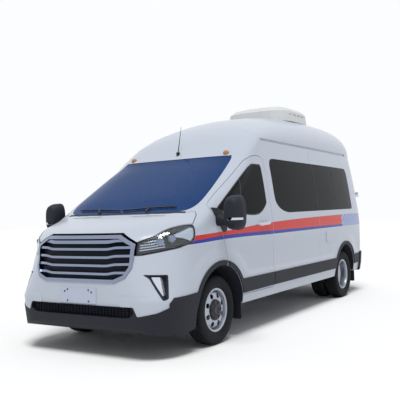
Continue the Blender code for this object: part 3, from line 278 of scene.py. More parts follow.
def loft(name, rings, close=True):
    bm = bmesh.new()
    rows = [[bm.verts.new(point) for point in ring] for ring in rings]
    for row, following in zip(rows, rows[1:]):
        for i in range(len(row)):
            j = (i + 1) % len(row)
            bm.faces.new((row[i], row[j], following[j], following[i]))
    if close:
        bm.faces.new(rows[0])
        bm.faces.new(rows[-1])
    return new_object(name, bm)


CORES = {}


def core(inset):
    """The body's outer form moved inwards by inset, outwards where inset is negative."""
    if inset not in CORES:
        made = loft("core", [body_ring(y, inset) for y in STATIONS])
        bm = bmesh.new()
        bm.from_mesh(made.data)
        bmesh.ops.triangulate(bm, faces=bm.faces)
        bm.to_mesh(made.data)
        bm.free()
        CORES[inset] = made.data
        bpy.data.objects.remove(made, do_unlink=True)
    obj = bpy.data.objects.new("core", CORES[inset].copy())
    bpy.context.scene.collection.objects.link(obj)
    return obj


def prism(axis, outline, start, end):
    """A flat outline pushed along an axis: (y, z) along X, (x, z) along Y, (x, y) along Z."""
    bm = bmesh.new()

    def spot(point, depth):
        if axis == "X":
            return Vector((depth, point[0], point[1]))
        if axis == "Y":
            return Vector((point[0], depth, point[1]))
        return Vector((point[0], point[1], depth))

    face = bm.faces.new([bm.verts.new(spot(point, start)) for point in outline])
    extruded = bmesh.ops.extrude_face_region(bm, geom=[face])
    moved = [item for item in extruded["geom"] if isinstance(item, bmesh.types.BMVert)]
    bmesh.ops.translate(bm, verts=moved, vec=spot((0.0, 0.0), end) - spot((0.0, 0.0), start))
    return new_object("prism", bm)


def rect(first, last, low, high):
    """A rectangle's outline from its limits along both directions."""
    return [(first, low), (last, low), (last, high), (first, high)]


def symmetric(half, lead):
    """An outline from its +X half and the mirror image of that, starting lead points early."""
    whole = half + [(-x, z) for x, z in reversed(half)]
    return whole[-lead:] + whole[:-lead] if lead else whole


def box(x0, x1, y0, y1, z0, z1):
    return prism("Z", rect(x0, x1, y0, y1), z0, z1)


def rod(axis, centre, radius, start, end, segments=48):
    turns = [2 * math.pi * i / segments for i in range(segments)]
    outline = [(centre[0] + radius * math.cos(a), centre[1] + radius * math.sin(a)) for a in turns]
    return prism(axis, outline, start, end)


def arc(centre, radius, first, last, steps):
    """Points (y, z) round a centre, angles in degrees from +y towards +z."""
    angles = [math.radians(first + (last - first) * i / steps) for i in range(steps + 1)]
    return [(centre[0] + radius * math.cos(a), centre[1] + radius * math.sin(a)) for a in angles]


def grow(outline, amount):
    """The outline with every edge moved outwards by amount, or inwards where it is negative."""
    area = sum(a[0] * b[1] - b[0] * a[1] for a, b in zip(outline, outline[1:] + outline[:1]))
    sign = 1.0 if area > 0 else -1.0
    grown = []
    for i, point in enumerate(outline):
        before, after = outline[i - 1], outline[(i + 1) % len(outline)]
        d1 = Vector((point[0] - before[0], point[1] - before[1])).normalized()
        d2 = Vector((after[0] - point[0], after[1] - point[1])).normalized()
        n1 = Vector((d1.y, -d1.x)) * sign
        n2 = Vector((d2.y, -d2.x)) * sign
        middle = (n1 + n2).normalized()
        reach = amount / max(0.35, middle.dot(n1))
        grown.append((point[0] + middle.x * reach, point[1] + middle.y * reach))
    return grown


def rounded(outline, radius, steps=4):
    """The outline with its corners rounded, as far as its edges allow."""
    result = []
    for i, point in enumerate(outline):
        here = Vector(point)
        before, after = Vector(outline[i - 1]), Vector(outline[(i + 1) % len(outline)])
        to_before, to_after = before - here, after - here
        reach = min(radius, to_before.length * 0.45, to_after.length * 0.45)
        a = here + to_before.normalized() * reach
        b = here + to_after.normalized() * reach
        for k in range(steps + 1):
            t = k / steps
            result.append(tuple(a * (1 - t) ** 2 + here * 2 * t * (1 - t) + b * t * t))
    return result


def join(target, tool, operation, solver="MANIFOLD"):
    """Combine two solids into the first and remove the second."""
    modifier = target.modifiers.new("join", "BOOLEAN")
    modifier.operation = operation
    modifier.solver = solver
    modifier.object = tool
    graph = bpy.context.evaluated_depsgraph_get()
    mesh = bpy.data.meshes.new_from_object(target.evaluated_get(graph))
    target.modifiers.clear()
    old = target.data
    target.data = mesh
    bpy.data.meshes.remove(old)
    bpy.data.objects.remove(tool, do_unlink=True)
    return target


def cut(target, *tools):
    for tool in tools:
        join(target, tool, "DIFFERENCE")
    return target


def keep(target, *tools):
    for tool in tools:
        join(target, tool, "INTERSECT")
    return target


def add(target, *tools):
    for tool in tools:
        join(target, tool, "UNION")
    return target


def mirrored(obj):
    """The same solid on the other side of the van."""
    bm = bmesh.new()
    bm.from_mesh(obj.data)
    bmesh.ops.transform(bm, matrix=Matrix.Scale(-1.0, 4, Vector((1.0, 0.0, 0.0))), verts=bm.verts)
    bmesh.ops.reverse_faces(bm, faces=bm.faces)
    return new_object(obj.name + "_mirror", bm, False)


def both_sides(solid):
    return [solid, mirrored(solid)]


def sided(solid, side):
    """A solid made for the left side, or its mirror image in its stead for the right."""
    if side > 0:
        return solid
    other = mirrored(solid)
    bpy.data.objects.remove(solid, do_unlink=True)
    return other


def crust(outer_inset, inner_inset, *zones):
    """The layer of the body between two depths, kept inside every zone."""
    layer = core(outer_inset)
    cut(layer, core(inner_inset))
    return keep(layer, *zones)


def recess(depth, zone):
    """A pocket for a panel: the zone, down to a depth below the body's surface."""
    return cut(zone, core(depth))


def joined(objects, name):
    """Several meshes as one object, without a union."""
    bm = bmesh.new()
    for obj in objects:
        bm.from_mesh(obj.data)
        bpy.data.objects.remove(obj, do_unlink=True)
    return new_object(name, bm, False)


def place(obj, name, body, material, slot=None, replaces=(), angle=32.0, bevel=0.0):
    """Names a piece, gives its finish, and makes it ride on its body."""
    obj.name = name
    obj.data.name = name
    bm = bmesh.new()
    bm.from_mesh(obj.data)
    bmesh.ops.remove_doubles(bm, verts=bm.verts, dist=0.00002)
    bmesh.ops.dissolve_degenerate(bm, edges=bm.edges, dist=0.00002)
    bm.to_mesh(obj.data)
    bm.free()
    obj.data.materials.clear()
    obj.data.materials.append(material)
    obj.data.shade_smooth()
    obj.data.set_sharp_from_angle(angle=math.radians(angle))
    if bevel:
        modifier = obj.modifiers.new("edges", "BEVEL")
        modifier.width = bevel
        modifier.segments = 2
        modifier.limit_method = "ANGLE"
        modifier.angle_limit = math.radians(40)
        modifier.harden_normals = True
    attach(obj, body)
    if replaces:
        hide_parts(*replaces)
    return obj


def put(side, solid, name, finish, node, body=VAN, **more):
    """Places a piece made for the left side on either side, with the side's word in its name."""
    return place(sided(solid, side), name + "_" + SIDES[side], body, finish, node, **more)


# Free forms

def turned(profile, x, y, z, side=1, segments=96, lift=None):
    """A closed (offset, radius) outline turned about the X axis, offsets outwards from the wheel's middle."""
    bm = bmesh.new()
    rows = []
    for i in range(segments):
        angle = 2 * math.pi * i / segments
        row = []
        for offset, radius in profile:
            reach = radius + (lift(i, offset, radius) if lift else 0.0)
            spot = (x + side * offset, y + reach * math.cos(angle), z + reach * math.sin(angle))
            row.append(bm.verts.new(spot))
        rows.append(row)
    for row, following in zip(rows, rows[1:] + rows[:1]):
        for j in range(len(row)):
            k = (j + 1) % len(row)
            bm.faces.new((row[j], row[k], following[k], following[j]))
    bmesh.ops.remove_doubles(bm, verts=bm.verts, dist=0.000001)
    bmesh.ops.delete(bm, geom=[edge for edge in bm.edges if not edge.link_faces], context="EDGES")
    return new_object("turned", bm)


def tube(points, radius, sides=10):
    """A round bar through points, with one radius or one for each point."""
    points = [Vector(point) for point in points]
    normal = None
    rings = []
    for i, point in enumerate(points):
        tangent = (points[min(i + 1, len(points) - 1)] - points[max(i - 1, 0)]).normalized()
        normal = tangent.orthogonal() if normal is None else normal - tangent * normal.dot(tangent)
        normal.normalize()
        across = tangent.cross(normal)
        reach = radius[i] if isinstance(radius, (list, tuple)) else radius
        turns = [2 * math.pi * k / sides for k in range(sides)]
        rings.append([point + (normal * math.cos(a) + across * math.sin(a)) * reach for a in turns])
    return loft("tube", rings)


def oval(centre, first, second, power=2.6, count=40):
    """A rounded-square ring round a centre, spanned by two half-axis vectors."""
    ring = []
    for i in range(count):
        angle = 2 * math.pi * i / count
        a, b = math.cos(angle), math.sin(angle)
        u = math.copysign(abs(a) ** (2 / power), a)
        v = math.copysign(abs(b) ** (2 / power), b)
        ring.append(Vector(centre) + Vector(first) * u + Vector(second) * v)
    return ring


CROWN = 0.25
PULLED_IN = 0.035
SEAM_DEPTH = 0.11
SEAM_WIDTH = 0.045
CUSHION_CUTS = 21


def cushion(centre, half, seams, tilt):
    """A padded block: round edges, crowned faces, sides pulled in between corners, sewn channels across."""
    bm = bmesh.new()
    bmesh.ops.create_cube(bm, size=2.0)
    bmesh.ops.subdivide_edges(bm, edges=bm.edges, cuts=CUSHION_CUTS, use_grid_fill=True)
    for vert in bm.verts:
        p = vert.co
        q = p / (abs(p.x) ** 5 + abs(p.y) ** 5 + abs(p.z) ** 5) ** 0.2
        flat = (1 - q.x * q.x) * (1 - q.y * q.y)
        waist = 1.0 - PULLED_IN * (1 - q.z * q.z)
        height = q.z * (1 - CROWN * 0.5 + CROWN * 0.5 * flat)
        for seam in seams:
            groove = math.exp(-((q.y - seam) / SEAM_WIDTH) ** 2) * (1 - q.x ** 6)
            height -= math.copysign(SEAM_DEPTH, q.z) * groove
        vert.co = Vector((q.x * half[0] * waist, q.y * half[1] * waist, height * half[2]))
    turn = Matrix.Rotation(math.radians(tilt), 4, "X")
    bmesh.ops.transform(bm, matrix=Matrix.Translation(centre) @ turn, verts=bm.verts)
    return new_object("cushion", bm)


# Materials

class Graph:
    """Small helper that adds shader nodes to a material and links them."""

    def __init__(self, material):
        self.tree = material.node_tree
        self.shader = self.tree.nodes["Principled BSDF"]
        coordinates = self.tree.nodes.new("ShaderNodeTexCoord")
        self.point = coordinates.outputs["Object"]
        self.normal = coordinates.outputs["Normal"]

    def node(self, kind, **inputs):
        made = self.tree.nodes.new(kind)
        for key, value in inputs.items():
            self.feed(made.inputs[key], value)
        return made

    def feed(self, socket, value):
        if isinstance(value, bpy.types.NodeSocket):
            self.tree.links.new(value, socket)
        else:
            socket.default_value = value

    def math(self, operation, first, second=0.0):
        made = self.tree.nodes.new("ShaderNodeMath")
        made.operation = operation
        self.feed(made.inputs[0], first)
        self.feed(made.inputs[1], second)
        return made.outputs[0]

    def product(self, *values):
        result = values[0]
        for value in values[1:]:
            result = self.math("MULTIPLY", result, value)
        return result

    def split(self, vector):
        made = self.node("ShaderNodeSeparateXYZ", Vector=vector)
        return made.outputs[0], made.outputs[1], made.outputs[2]

    def noise(self, scale, detail=3.0):
        made = self.node("ShaderNodeTexNoise", Vector=self.point, Scale=scale, Detail=detail)
        return made.outputs[0]

    def mix(self, factor, first, second):
        made = self.tree.nodes.new("ShaderNodeMix")
        made.data_type = "RGBA"
        self.feed(made.inputs["Factor"], factor)
        for socket, value in ((made.inputs[6], first), (made.inputs[7], second)):
            self.feed(socket, value if isinstance(value, bpy.types.NodeSocket) else (*value, 1.0))
        return made.outputs[2]

    def remap(self, value, low, high):
        made = self.node("ShaderNodeMapRange", Value=value)
        made.inputs["To Min"].default_value = low
        made.inputs["To Max"].default_value = high
        return made.outputs[0]

    def curve(self, value, points):
        """A value of 0 to 1 read from a smooth curve through the points."""
        made = self.node("ShaderNodeFloatCurve", Value=value)
        line = made.mapping.curves[0]
        line.points[0].location = points[0]
        line.points[1].location = points[-1]
        for point in points[1:-1]:
            line.points.new(*point)
        made.mapping.update()
        return made.outputs[0]

    def bump(self, height, strength, distance):
        made = self.node("ShaderNodeBump", Height=height, Strength=strength, Distance=distance)
        self.tree.links.new(made.outputs[0], self.shader.inputs["Normal"])


def material(name, colour, roughness=0.5, metallic=0.0, grain=60.0, bump=0.05, vary=0.05, **sockets):
    """A Principled finish whose colour, roughness and relief vary with a fine noise."""
    made = bpy.data.materials.new(name)
    made.use_nodes = True
    graph = Graph(made)
    graph.shader.inputs["Metallic"].default_value = metallic
    fine = graph.noise(grain)
    low = [c * (1 - vary) for c in colour]
    high = [min(1.0, c * (1 + vary)) for c in colour]
    graph.tree.links.new(graph.mix(fine, low, high), graph.shader.inputs["Base Color"])
    rough = graph.remap(graph.noise(grain * 0.3), roughness * 0.85, min(1.0, roughness * 1.15))
    graph.tree.links.new(rough, graph.shader.inputs["Roughness"])
    if bump:
        graph.bump(fine, bump, 0.001)
    for key, value in sockets.items():
        graph.shader.inputs[key.replace("_", " ")].default_value = value
    return made


# White paint set to a darker, bluer grey than the paint's own white: painted shade over all the paint
WHITE_PAINT_WITH_SHADE = (0.47, 0.515, 0.595)
STRIPE_RED = (0.56, 0.022, 0.016)
STRIPE_BLUE = (0.012, 0.028, 0.300)
PANEL_BLUE = (0.030, 0.080, 0.360)
PANEL_PALE = (0.42, 0.50, 0.68)
STRIPE_START = -2.600
STRIPE_END = 1.656
PANEL_END = 2.830
CHECK = 0.036
STRIPE_PLACES = (-3.0, -2.52, -1.78, -0.765, 1.656, 3.0)


def livery():
    """White paint, darker and bluer than white as painted shade, with the side stripe and the chequered end
    panel, placed on the van itself.
    """
    made = bpy.data.materials.new("livery_paint")
    made.use_nodes = True
    graph = Graph(made)
    x, y, z = graph.split(graph.point)
    outward = graph.math("GREATER_THAN", graph.product(graph.split(graph.normal)[0], x), 0.30)
    along = graph.math("DIVIDE", graph.math("ADD", y, 3.0), 6.0)

    def height(*heights):
        points = [((py + 3.0) / 6.0, (pz - 1.0) / 0.3) for py, pz in zip(STRIPE_PLACES, heights)]
        return graph.math("ADD", graph.math("MULTIPLY", graph.curve(along, points), 0.3), 1.0)

    def between(value, low, high):
        return graph.product(graph.math("GREATER_THAN", value, low), graph.math("LESS_THAN", value, high))

    top = height(1.085, 1.117, 1.154, 1.210, 1.262, 1.276)
    middle = height(1.050, 1.071, 1.108, 1.112, 1.116, 1.116)
    bottom = height(1.030, 1.042, 1.070, 1.073, 1.086, 1.088)
    length = between(y, STRIPE_START, STRIPE_END)
    red = graph.product(between(z, middle, top), length, outward)
    blue = graph.product(between(z, bottom, middle), length, outward)
    panel = graph.product(between(z, bottom, top), between(y, STRIPE_END + 0.008, PANEL_END), outward)
    row = graph.math("FLOOR", graph.math("DIVIDE", z, CHECK))
    column = graph.math("FLOOR", graph.math("DIVIDE", y, CHECK * 1.6))
    check = graph.math("MODULO", graph.math("ADD", row, column), 2.0)
    check = graph.product(graph.math("ABSOLUTE", check), 0.85)
    haze = graph.remap(graph.noise(2.2), 0.96, 1.03)
    # The paint's white with its painted shade, varied a little at random
    white = graph.mix(haze, [c * 0.97 for c in WHITE_PAINT_WITH_SHADE], WHITE_PAINT_WITH_SHADE)
    colour = graph.mix(red, white, STRIPE_RED)
    colour = graph.mix(blue, colour, STRIPE_BLUE)
    colour = graph.mix(panel, colour, graph.mix(check, PANEL_PALE, PANEL_BLUE))
    graph.tree.links.new(colour, graph.shader.inputs["Base Color"])
    graph.tree.links.new(graph.remap(graph.noise(9.0), 0.20, 0.30), graph.shader.inputs["Roughness"])
    graph.shader.inputs["Coat Weight"].default_value = 0.08
    graph.shader.inputs["Specular IOR Level"].default_value = 0.22
    graph.shader.inputs["Coat Roughness"].default_value = 0.05
    graph.bump(graph.noise(420.0, 2.0), 0.02, 0.0004)
    return made


PAINT = livery()
TRIM = material(
    "black_trim", (0.016, 0.018, 0.026), 0.60, grain=900.0, bump=0.25, vary=0.25, Specular_IOR_Level=0.22,
)
SATIN = material(
    "satin_black", (0.010, 0.012, 0.020), 0.34, grain=300.0, bump=0.05, vary=0.2, Specular_IOR_Level=0.28,
)
LIP = material(
    "grey_lip", (0.020, 0.024, 0.036), 0.50, grain=700.0, bump=0.2, vary=0.2, Specular_IOR_Level=0.3,
)
RUBBER = material(
    "tyre_rubber", (0.010, 0.011, 0.014), 0.85, grain=240.0, bump=0.35, vary=0.35, Specular_IOR_Level=0.25,
)
SEAL = material("window_seal", (0.008, 0.008, 0.010), 0.60, grain=500.0, bump=0.1, vary=0.2)
# Chrome given a dark bluish grey below its own brightness: painted reflection of darker surroundings
CHROME = material("chrome", (0.25, 0.29, 0.39), 0.16, 1.0, grain=40.0, bump=0.01, vary=0.03)
SILVER = material("wheel_silver", (0.40, 0.43, 0.49), 0.34, 0.85, grain=350.0, bump=0.06, vary=0.08)
DARK_METAL = material("dark_metal", (0.035, 0.037, 0.042), 0.48, 0.5, grain=180.0, bump=0.15, vary=0.3)
STEEL = material("bare_steel", (0.30, 0.30, 0.31), 0.42, 0.9, grain=160.0, bump=0.12, vary=0.15)
GRILLE_DARK = material(
    "grille_dark", (0.006, 0.009, 0.018), 0.55, grain=600.0, bump=0.3, vary=0.3, Specular_IOR_Level=0.15,
)
GLASS_SIDE = material(
    "privacy_glass", (0.012, 0.015, 0.019), 0.03, grain=3.0, bump=0.0, vary=0.10,
    Transmission_Weight=0.80, IOR=1.13,
)
GLASS_FRONT = material(
    "windscreen_glass", (0.034, 0.140, 0.420), 0.02, grain=3.0, bump=0.0, vary=0.06,
    Transmission_Weight=0.72, IOR=1.14,
)
CLEAR = material(
    "clear_lens", (0.88, 0.92, 0.96), 0.03, grain=20.0, bump=0.0, vary=0.02,
    Transmission_Weight=1.0, IOR=1.49,
)
RED_LENS = material(
    "red_lens", (0.50, 0.010, 0.012), 0.08, grain=250.0, bump=0.1, vary=0.1,
    Transmission_Weight=0.25, Coat_Weight=0.6,
)
AMBER_LENS = material(
    "amber_lens", (0.55, 0.20, 0.04), 0.10, grain=250.0, bump=0.1, vary=0.1,
    Transmission_Weight=0.25, Coat_Weight=0.6,
)
SILVER_LAMP = material("lamp_silver", (0.60, 0.64, 0.72), 0.22, 0.6, grain=260.0, bump=0.10, vary=0.08)
MIRROR = material("mirror_glass", (0.60, 0.64, 0.68), 0.03, 1.0, grain=8.0, bump=0.0, vary=0.02)
HANDLE = material(
    "handle_paint", (0.54, 0.58, 0.64), 0.24, grain=200.0, bump=0.02, vary=0.03, Coat_Weight=0.5,
)
PLATE = material("plate_blank", (0.44, 0.49, 0.60), 0.34, grain=320.0, bump=0.04, vary=0.04)
ROOF_PLASTIC = material("roof_plastic", (0.62, 0.64, 0.65), 0.45, grain=160.0, bump=0.08, vary=0.05)
FABRIC = material(
    "seat_fabric", (0.050, 0.053, 0.062), 0.88, grain=800.0, bump=0.5, vary=0.35, Sheen_Weight=0.3,
)
VINYL = material("chair_vinyl", (0.060, 0.260, 0.300), 0.40, grain=220.0, bump=0.12, vary=0.06)
LAMINATE = material("laminate", (0.72, 0.73, 0.72), 0.30, grain=90.0, bump=0.03, vary=0.03)
DASH = material("dashboard_plastic", (0.030, 0.031, 0.034), 0.62, grain=700.0, bump=0.35, vary=0.2)


# Outlines, as in the solids

FRONT_ARCH = (FRONT_AXLE_Y, ARCH_Z)
REAR_ARCH = (REAR_AXLE_Y, ARCH_Z)
ROOF_LINE = [
    (-1.700, 1.992), (-1.130, 1.992), (-1.020, 2.050), (-0.900, 2.125), (-0.780, GUTTER_Z),
    (3.200, GUTTER_Z), (3.200, 3.200), (-1.700, 3.200),
]
DOOR_LINE = rounded([
    (DOOR_REAR_Y, DOOR_BOTTOM), (DOOR_REAR_Y, 1.900), (-0.757, 1.960), (-0.800, 1.990), (-0.880, 1.998),
    (-1.060, 1.982), (-1.200, 1.930), (-1.400, 1.810), (-1.650, 1.670), (-1.900, 1.527),
    (-2.040, 1.442), (-2.085, 1.402), (-2.080, 1.340), (-2.020, 1.250), (-1.925, 1.130),
    (-1.870, 0.950), (-1.844, 0.790), (-1.844, DOOR_BOTTOM),
], 0.030, 3)
DOOR_GLASS_LINE = rounded([
    (-0.835, 1.440), (-0.835, 1.860), (-0.860, 1.895), (-1.080, 1.893), (-1.200, 1.850),
    (-1.300, 1.795), (-1.560, 1.648), (-1.830, 1.490), (-1.985, 1.395), (-1.995, 1.362), (-1.900, 1.345),
    (-1.560, 1.325), (-1.300, 1.302), (-1.200, 1.300), (-1.100, 1.306), (-1.010, 1.330),
    (-0.930, 1.368), (-0.868, 1.410),
], 0.040, 3)
GLASS_FRONT_END = [
    (-0.480, 1.985), (-0.560, 1.965), (-0.595, 1.900), (-0.600, 1.520), (-0.580, 1.440),
    (-0.500, 1.375), (-0.380, 1.335), (-0.250, 1.318),
]
GLASS_REAR_END = [(2.270, 1.345), (2.270, 1.930), (2.235, 1.975), (2.190, 1.985)]
SIDE_GLASS_LINE = rounded(GLASS_REAR_END + GLASS_FRONT_END, 0.050, 3)
SLIDE_FRONT_GLASS = [(0.585, 1.325), (0.585, 1.985)] + GLASS_FRONT_END
SLIDE_REAR_GLASS = [(0.745, 1.330)] + GLASS_REAR_END + [(0.745, 1.985)]
SLIDING_LINE = [
    (-0.705, 0.480), (C_PILLAR_Y, 0.480), (C_PILLAR_Y, 2.100), (0.640, 2.130), (-0.680, 2.130),
    (-0.705, 2.100),
]
LAMP_LINE = [
    (-2.960, 0.955), (-2.840, 0.965), (-2.690, 1.000), (-2.520, 1.035), (-2.420, 1.060),
    (-2.385, 1.110), (-2.375, 1.300), (-2.960, 1.300),
]
LOWER_LINE = (
    [(-3.200, 0.050), (-2.440, 0.050)]
    + arc(FRONT_ARCH, ARCH_RADIUS + FIT, 191, 80, 30)
    + arc(FRONT_ARCH, FLARE_RADIUS, 80, 152, 20)
    + [(-2.560, 0.578), (-2.730, 0.572), (-2.800, 0.500), (-3.200, 0.500)]
)
NOSE_LINE = [
    (-3.200, 0.400), (-2.430, 0.400), (-2.360, 0.620), (-2.430, 0.740), (-2.520, 0.880),
    (-2.556, 1.000), (-2.560, 1.310), (-3.200, 1.310),
]
BUMPER_LINE = NOSE_LINE[:6] + [(-2.557, 1.022), (-2.690, 0.996), (-2.840, 0.961), (-3.200, 0.946)]
BAND_REACH = math.sqrt(ARCH_RADIUS ** 2 - 0.125 ** 2) + FIT
SIDE_BAND = (
    [(DOOR_REAR_Y + 0.010, 0.475), (REAR_ARCH[0] - BAND_REACH, 0.475)]
    + arc(REAR_ARCH, ARCH_RADIUS + FIT, 162, 18, 34)
    + [(REAR_ARCH[0] + BAND_REACH, 0.475), (2.545, 0.475), (2.545, 0.625)]
    + arc(REAR_ARCH, FLARE_RADIUS, 33, 147, 28)
    + [(DOOR_REAR_Y + 0.010, 0.625)]
)
DOOR_BAND = (
    [(DOOR_REAR_Y - 0.004, 0.475)]
    + arc(FRONT_ARCH, ARCH_RADIUS - 0.02, 16, 74, 16)
    + arc(FRONT_ARCH, FLARE_RADIUS, 77, 33, 12)
    + [(DOOR_REAR_Y - 0.004, 0.625)]
)
GRILLE_LINE = symmetric(
    [(0.440, 0.712), (0.560, 0.760), (0.615, 0.850), (0.628, 1.070), (0.460, 1.158)], 1,
)
SCREEN_LINE = rounded(symmetric([
    (0.500, 1.358), (0.700, 1.362), (0.785, 1.376), (0.832, 1.412), (0.852, 1.470), (0.842, 1.600),
    (0.815, 1.780), (0.780, 1.930), (0.765, 1.986),
], 1), 0.030, 2)
BONNET_FRONT = symmetric([
    (0.462, 1.172), (0.630, 1.085), (0.660, 1.098), (0.950, 1.222), (1.100, 1.290), (1.100, 1.700),
], 5)
BONNET_PLAN = symmetric([
    (0.640, -3.200), (0.660, -2.900), (0.800, -2.640), (0.945, -2.370), (0.905, -2.240),
    (0.868, -2.205), (0.800, -2.240), (0.600, -2.300), (0.300, -2.328),
], 0)
COWL_LINE = symmetric([
    (0.300, -2.322), (0.600, -2.296), (0.790, -2.262), (0.780, -2.235), (0.600, -2.262), (0.300, -2.284),
], 3)
INTAKE_LINE = rounded(symmetric([(0.600, 0.398), (0.662, 0.440), (0.640, 0.498)], 1), 0.02)
REAR_DOOR_LINE = rounded([
    (0.004, 0.665), (0.780, 0.665), (0.800, 0.690), (0.790, 1.500), (0.745, 2.050), (0.715, 2.120),
    (0.640, 2.150), (0.004, 2.150),
], 0.02, 3)
REAR_GLASS_LINE = rounded([
    (0.110, 1.360), (0.640, 1.360), (0.680, 1.400), (0.650, 1.900), (0.610, 1.960), (0.110, 1.960),
], 0.05)
BODY_SEAMS = (rect(0.742, 0.746, 0.640, 1.330), rect(0.742, 0.746, 1.985, 2.190))
REAR_EDGE = [
    (0.735, 0.600), (0.735, 1.500), (0.690, 2.030), (0.640, 2.200), (1.000, 2.200), (1.000, 0.600),
]
WING_LINE = rounded([
    (0.500, 0.600), (0.800, 0.600), (0.930, 0.552), (0.935, 0.488), (0.860, 0.446), (0.690, 0.412),
    (0.650, 0.500), (0.500, 0.500),
], 0.012, 2)
RECESS_LINE = rounded(
    [(0.712, 0.790), (0.888, 0.782), (0.926, 0.566), (0.898, 0.550), (0.768, 0.752)], 0.012, 2,
)
RECESS_LAMP = rounded([(0.776, 0.766), (0.838, 0.762), (0.886, 0.600), (0.880, 0.588)], 0.006, 2)
PLATE_BOSS = rect(-0.230, 0.230, 0.512, 0.662)
HANDLE_LINE = rounded([(-1.130, 1.178), (-0.870, 1.190), (-0.870, 1.222), (-1.130, 1.212)], 0.014, 3)
HANDLE_ROOM = rect(-1.100, -0.905, 1.160, 1.240)
SLIDE_HANDLE = rounded(rect(-0.640, -0.600, 1.178, 1.260), 0.010, 2)
SAIL_LINE = rounded([
    (-2.072, 1.395), (-1.970, 1.385), (-1.885, 1.335), (-1.830, 1.240), (-1.850, 1.150), (-1.915, 1.138),
    (-2.010, 1.254), (-2.066, 1.338),
], 0.015, 2)
TAIL_LAMP_LINE = [(2.760, 1.060), (3.100, 1.060), (3.100, 1.520), (2.800, 1.520), (2.770, 1.480)]


def side_zone(outline, amount=0.0, start=0.30, end=BESIDE):
    return prism("X", grow(outline, amount), start, end)


def right_zone(outline, amount=0.0):
    return side_zone(outline, amount, -BESIDE, -0.30)


def through(outline, amount=0.0, reach=BESIDE):
    """A zone right across the van."""
    return side_zone(outline, amount, -reach, reach)


def front_zone(outline, amount=0.0, start=BEFORE, end=-2.00):
    return prism("Y", grow(outline, amount), start, end)


def nose_zone(outline, amount=0.0):
    return front_zone(outline, amount, BEFORE, -2.60)


def rear_zone(outline, amount=0.0):
    return front_zone(outline, amount, 2.70, BEHIND)


def screen_zone(outline, amount=0.0):
    return front_zone(outline, amount, -2.60, -0.95)


def both_zones(outline, amount=0.0):
    """A zone at the nose and its mirror image as one tool of two separate solids."""
    return joined(both_sides(nose_zone(outline, amount)), "zones")


def bonnet_zone(amount=0.0):
    zone = front_zone(BONNET_FRONT, amount, BEFORE, -2.10)
    return keep(zone, prism("Z", grow(BONNET_PLAN, amount), 1.00, 1.80))


def lamp_zone(amount=0.0):
    zone = side_zone(LAMP_LINE, amount, 0.636 - amount)
    return cut(zone, bonnet_zone(GAP / 2 + LAMP_GAP - amount))


def tail_zone(amount=0.0):
    return side_zone(TAIL_LAMP_LINE, amount, 0.818 - amount, 1.20)


def rear_bumper_zone(amount=0.0):
    return through(rect(2.560, BEHIND, 0.300, 0.640), amount)


def wheel_house(y, inner_x, extra):
    return rod("X", (y, ARCH_Z), ARCH_RADIUS + extra, inner_x - extra, 1.20, 72)


def front_house():
    return wheel_house(FRONT_AXLE_Y, FRONT_HOUSE_X, 0.0)


def cut_wheel_houses(solid, extra):
    for y, inner_x, _ in ARCHES:
        cut(solid, *both_sides(wheel_house(y, inner_x, extra)))
    return solid


def interior():
    """Space of the cab and the clinic room, down to the floor."""
    outline = [
        (-2.030, FLOOR_TOP), (2.990, FLOOR_TOP), (2.990, 3.200), (-2.500, 3.200), (-2.345, 1.345),
        (-2.270, 1.305), (-2.030, 1.225),
    ]
    return cut_wheel_houses(keep(core(WALL), through(outline)), ARCH_WALL)


def engine_bay():
    outline = [
        (BEFORE, 0.050), (-2.085, 0.050), (-2.085, 1.185), (-2.340, 1.270), (-2.360, 1.700), (BEFORE, 1.700),
    ]
    space = keep(core(0.030), through(outline))
    add(space, box(-0.86, 0.86, -2.80, -2.085, 0.05, 0.45))
    return cut(space, *both_sides(wheel_house(FRONT_AXLE_Y, FRONT_HOUSE_X, ARCH_WALL)))


# Painted panels

def make_body():
    body = core(0.0)
    under_floor = box(-SILL_INNER_X, SILL_INNER_X, -2.085, 2.870, 0.05, FLOOR_BOTTOM)
    cut(body, interior(), engine_bay(), under_floor)
    cut_wheel_houses(body, 0.0)
    cut(body, through(ROOF_LINE, FIT / 2))
    cut(body, screen_zone([(x, z + (SCREEN_RISE if z > SCREEN_TOP else 0.0)) for x, z in SCREEN_LINE]))
    cut(body, recess(BONNET_WALL + GAP, bonnet_zone(BONNET_GAP - GAP / 2)))
    cut(body, *both_sides(recess(DOOR_WALL + 0.004, side_zone(DOOR_LINE, GAP / 2, DOOR_INNER_X - GAP))))
    cut(body, *both_sides(recess(LAMP_DEPTH, lamp_zone(FIT))))
    cut(body, through(NOSE_LINE), through(LOWER_LINE, FIT))
    cut(body, side_zone(SIDE_GLASS_LINE), right_zone(SLIDE_REAR_GLASS))
    cut(body, recess(DOOR_WALL + FIT, right_zone(SLIDING_LINE, GAP / 2)))
    cut(body, right_zone(rect(-0.600, 0.560, 0.760, 2.030)))
    cab_opening = [
        (-1.780, 0.900), (-1.400, 0.720), (-0.830, 0.720), (-0.830, 1.900), (-1.100, 1.900),
        (-1.330, 1.770), (-1.900, 1.450),
    ]
    cut(body, *both_sides(side_zone(cab_opening)))
    rear_doors = both_sides(rear_zone(REAR_DOOR_LINE, REAR_GAP - GAP / 2))
    cut(body, *[recess(DOOR_WALL + 0.004, zone) for zone in rear_doors])
    rear_half = [(0.0, 0.720), (0.740, 0.720), (0.730, 1.500), (0.690, 2.040), (0.640, 2.090), (0.0, 2.090)]
    rear_opening = rear_half + [(-x, z) for x, z in reversed(rear_half) if x]
    cut(body, front_zone(rear_opening, 0.0, 2.60, BEHIND))
    cut(body, *both_sides(recess(0.041, tail_zone(0.001))))
    hinge_relief = rect(-2.075, -1.955, 1.325, 1.420)
    cut(body, *both_sides(side_zone(hinge_relief, 0.0, HALF_WIDTH - 0.191, HALF_WIDTH - 0.081)))
    for line in BODY_SEAMS:
        cut(body, crust(-0.010, 0.004, side_zone(line)))
    cut(body, recess(BUMPER_WALL + 0.001, rear_bumper_zone(FIT)))
    place(body, "body", VAN, PAINT, "body_shell", ["body_shell"])


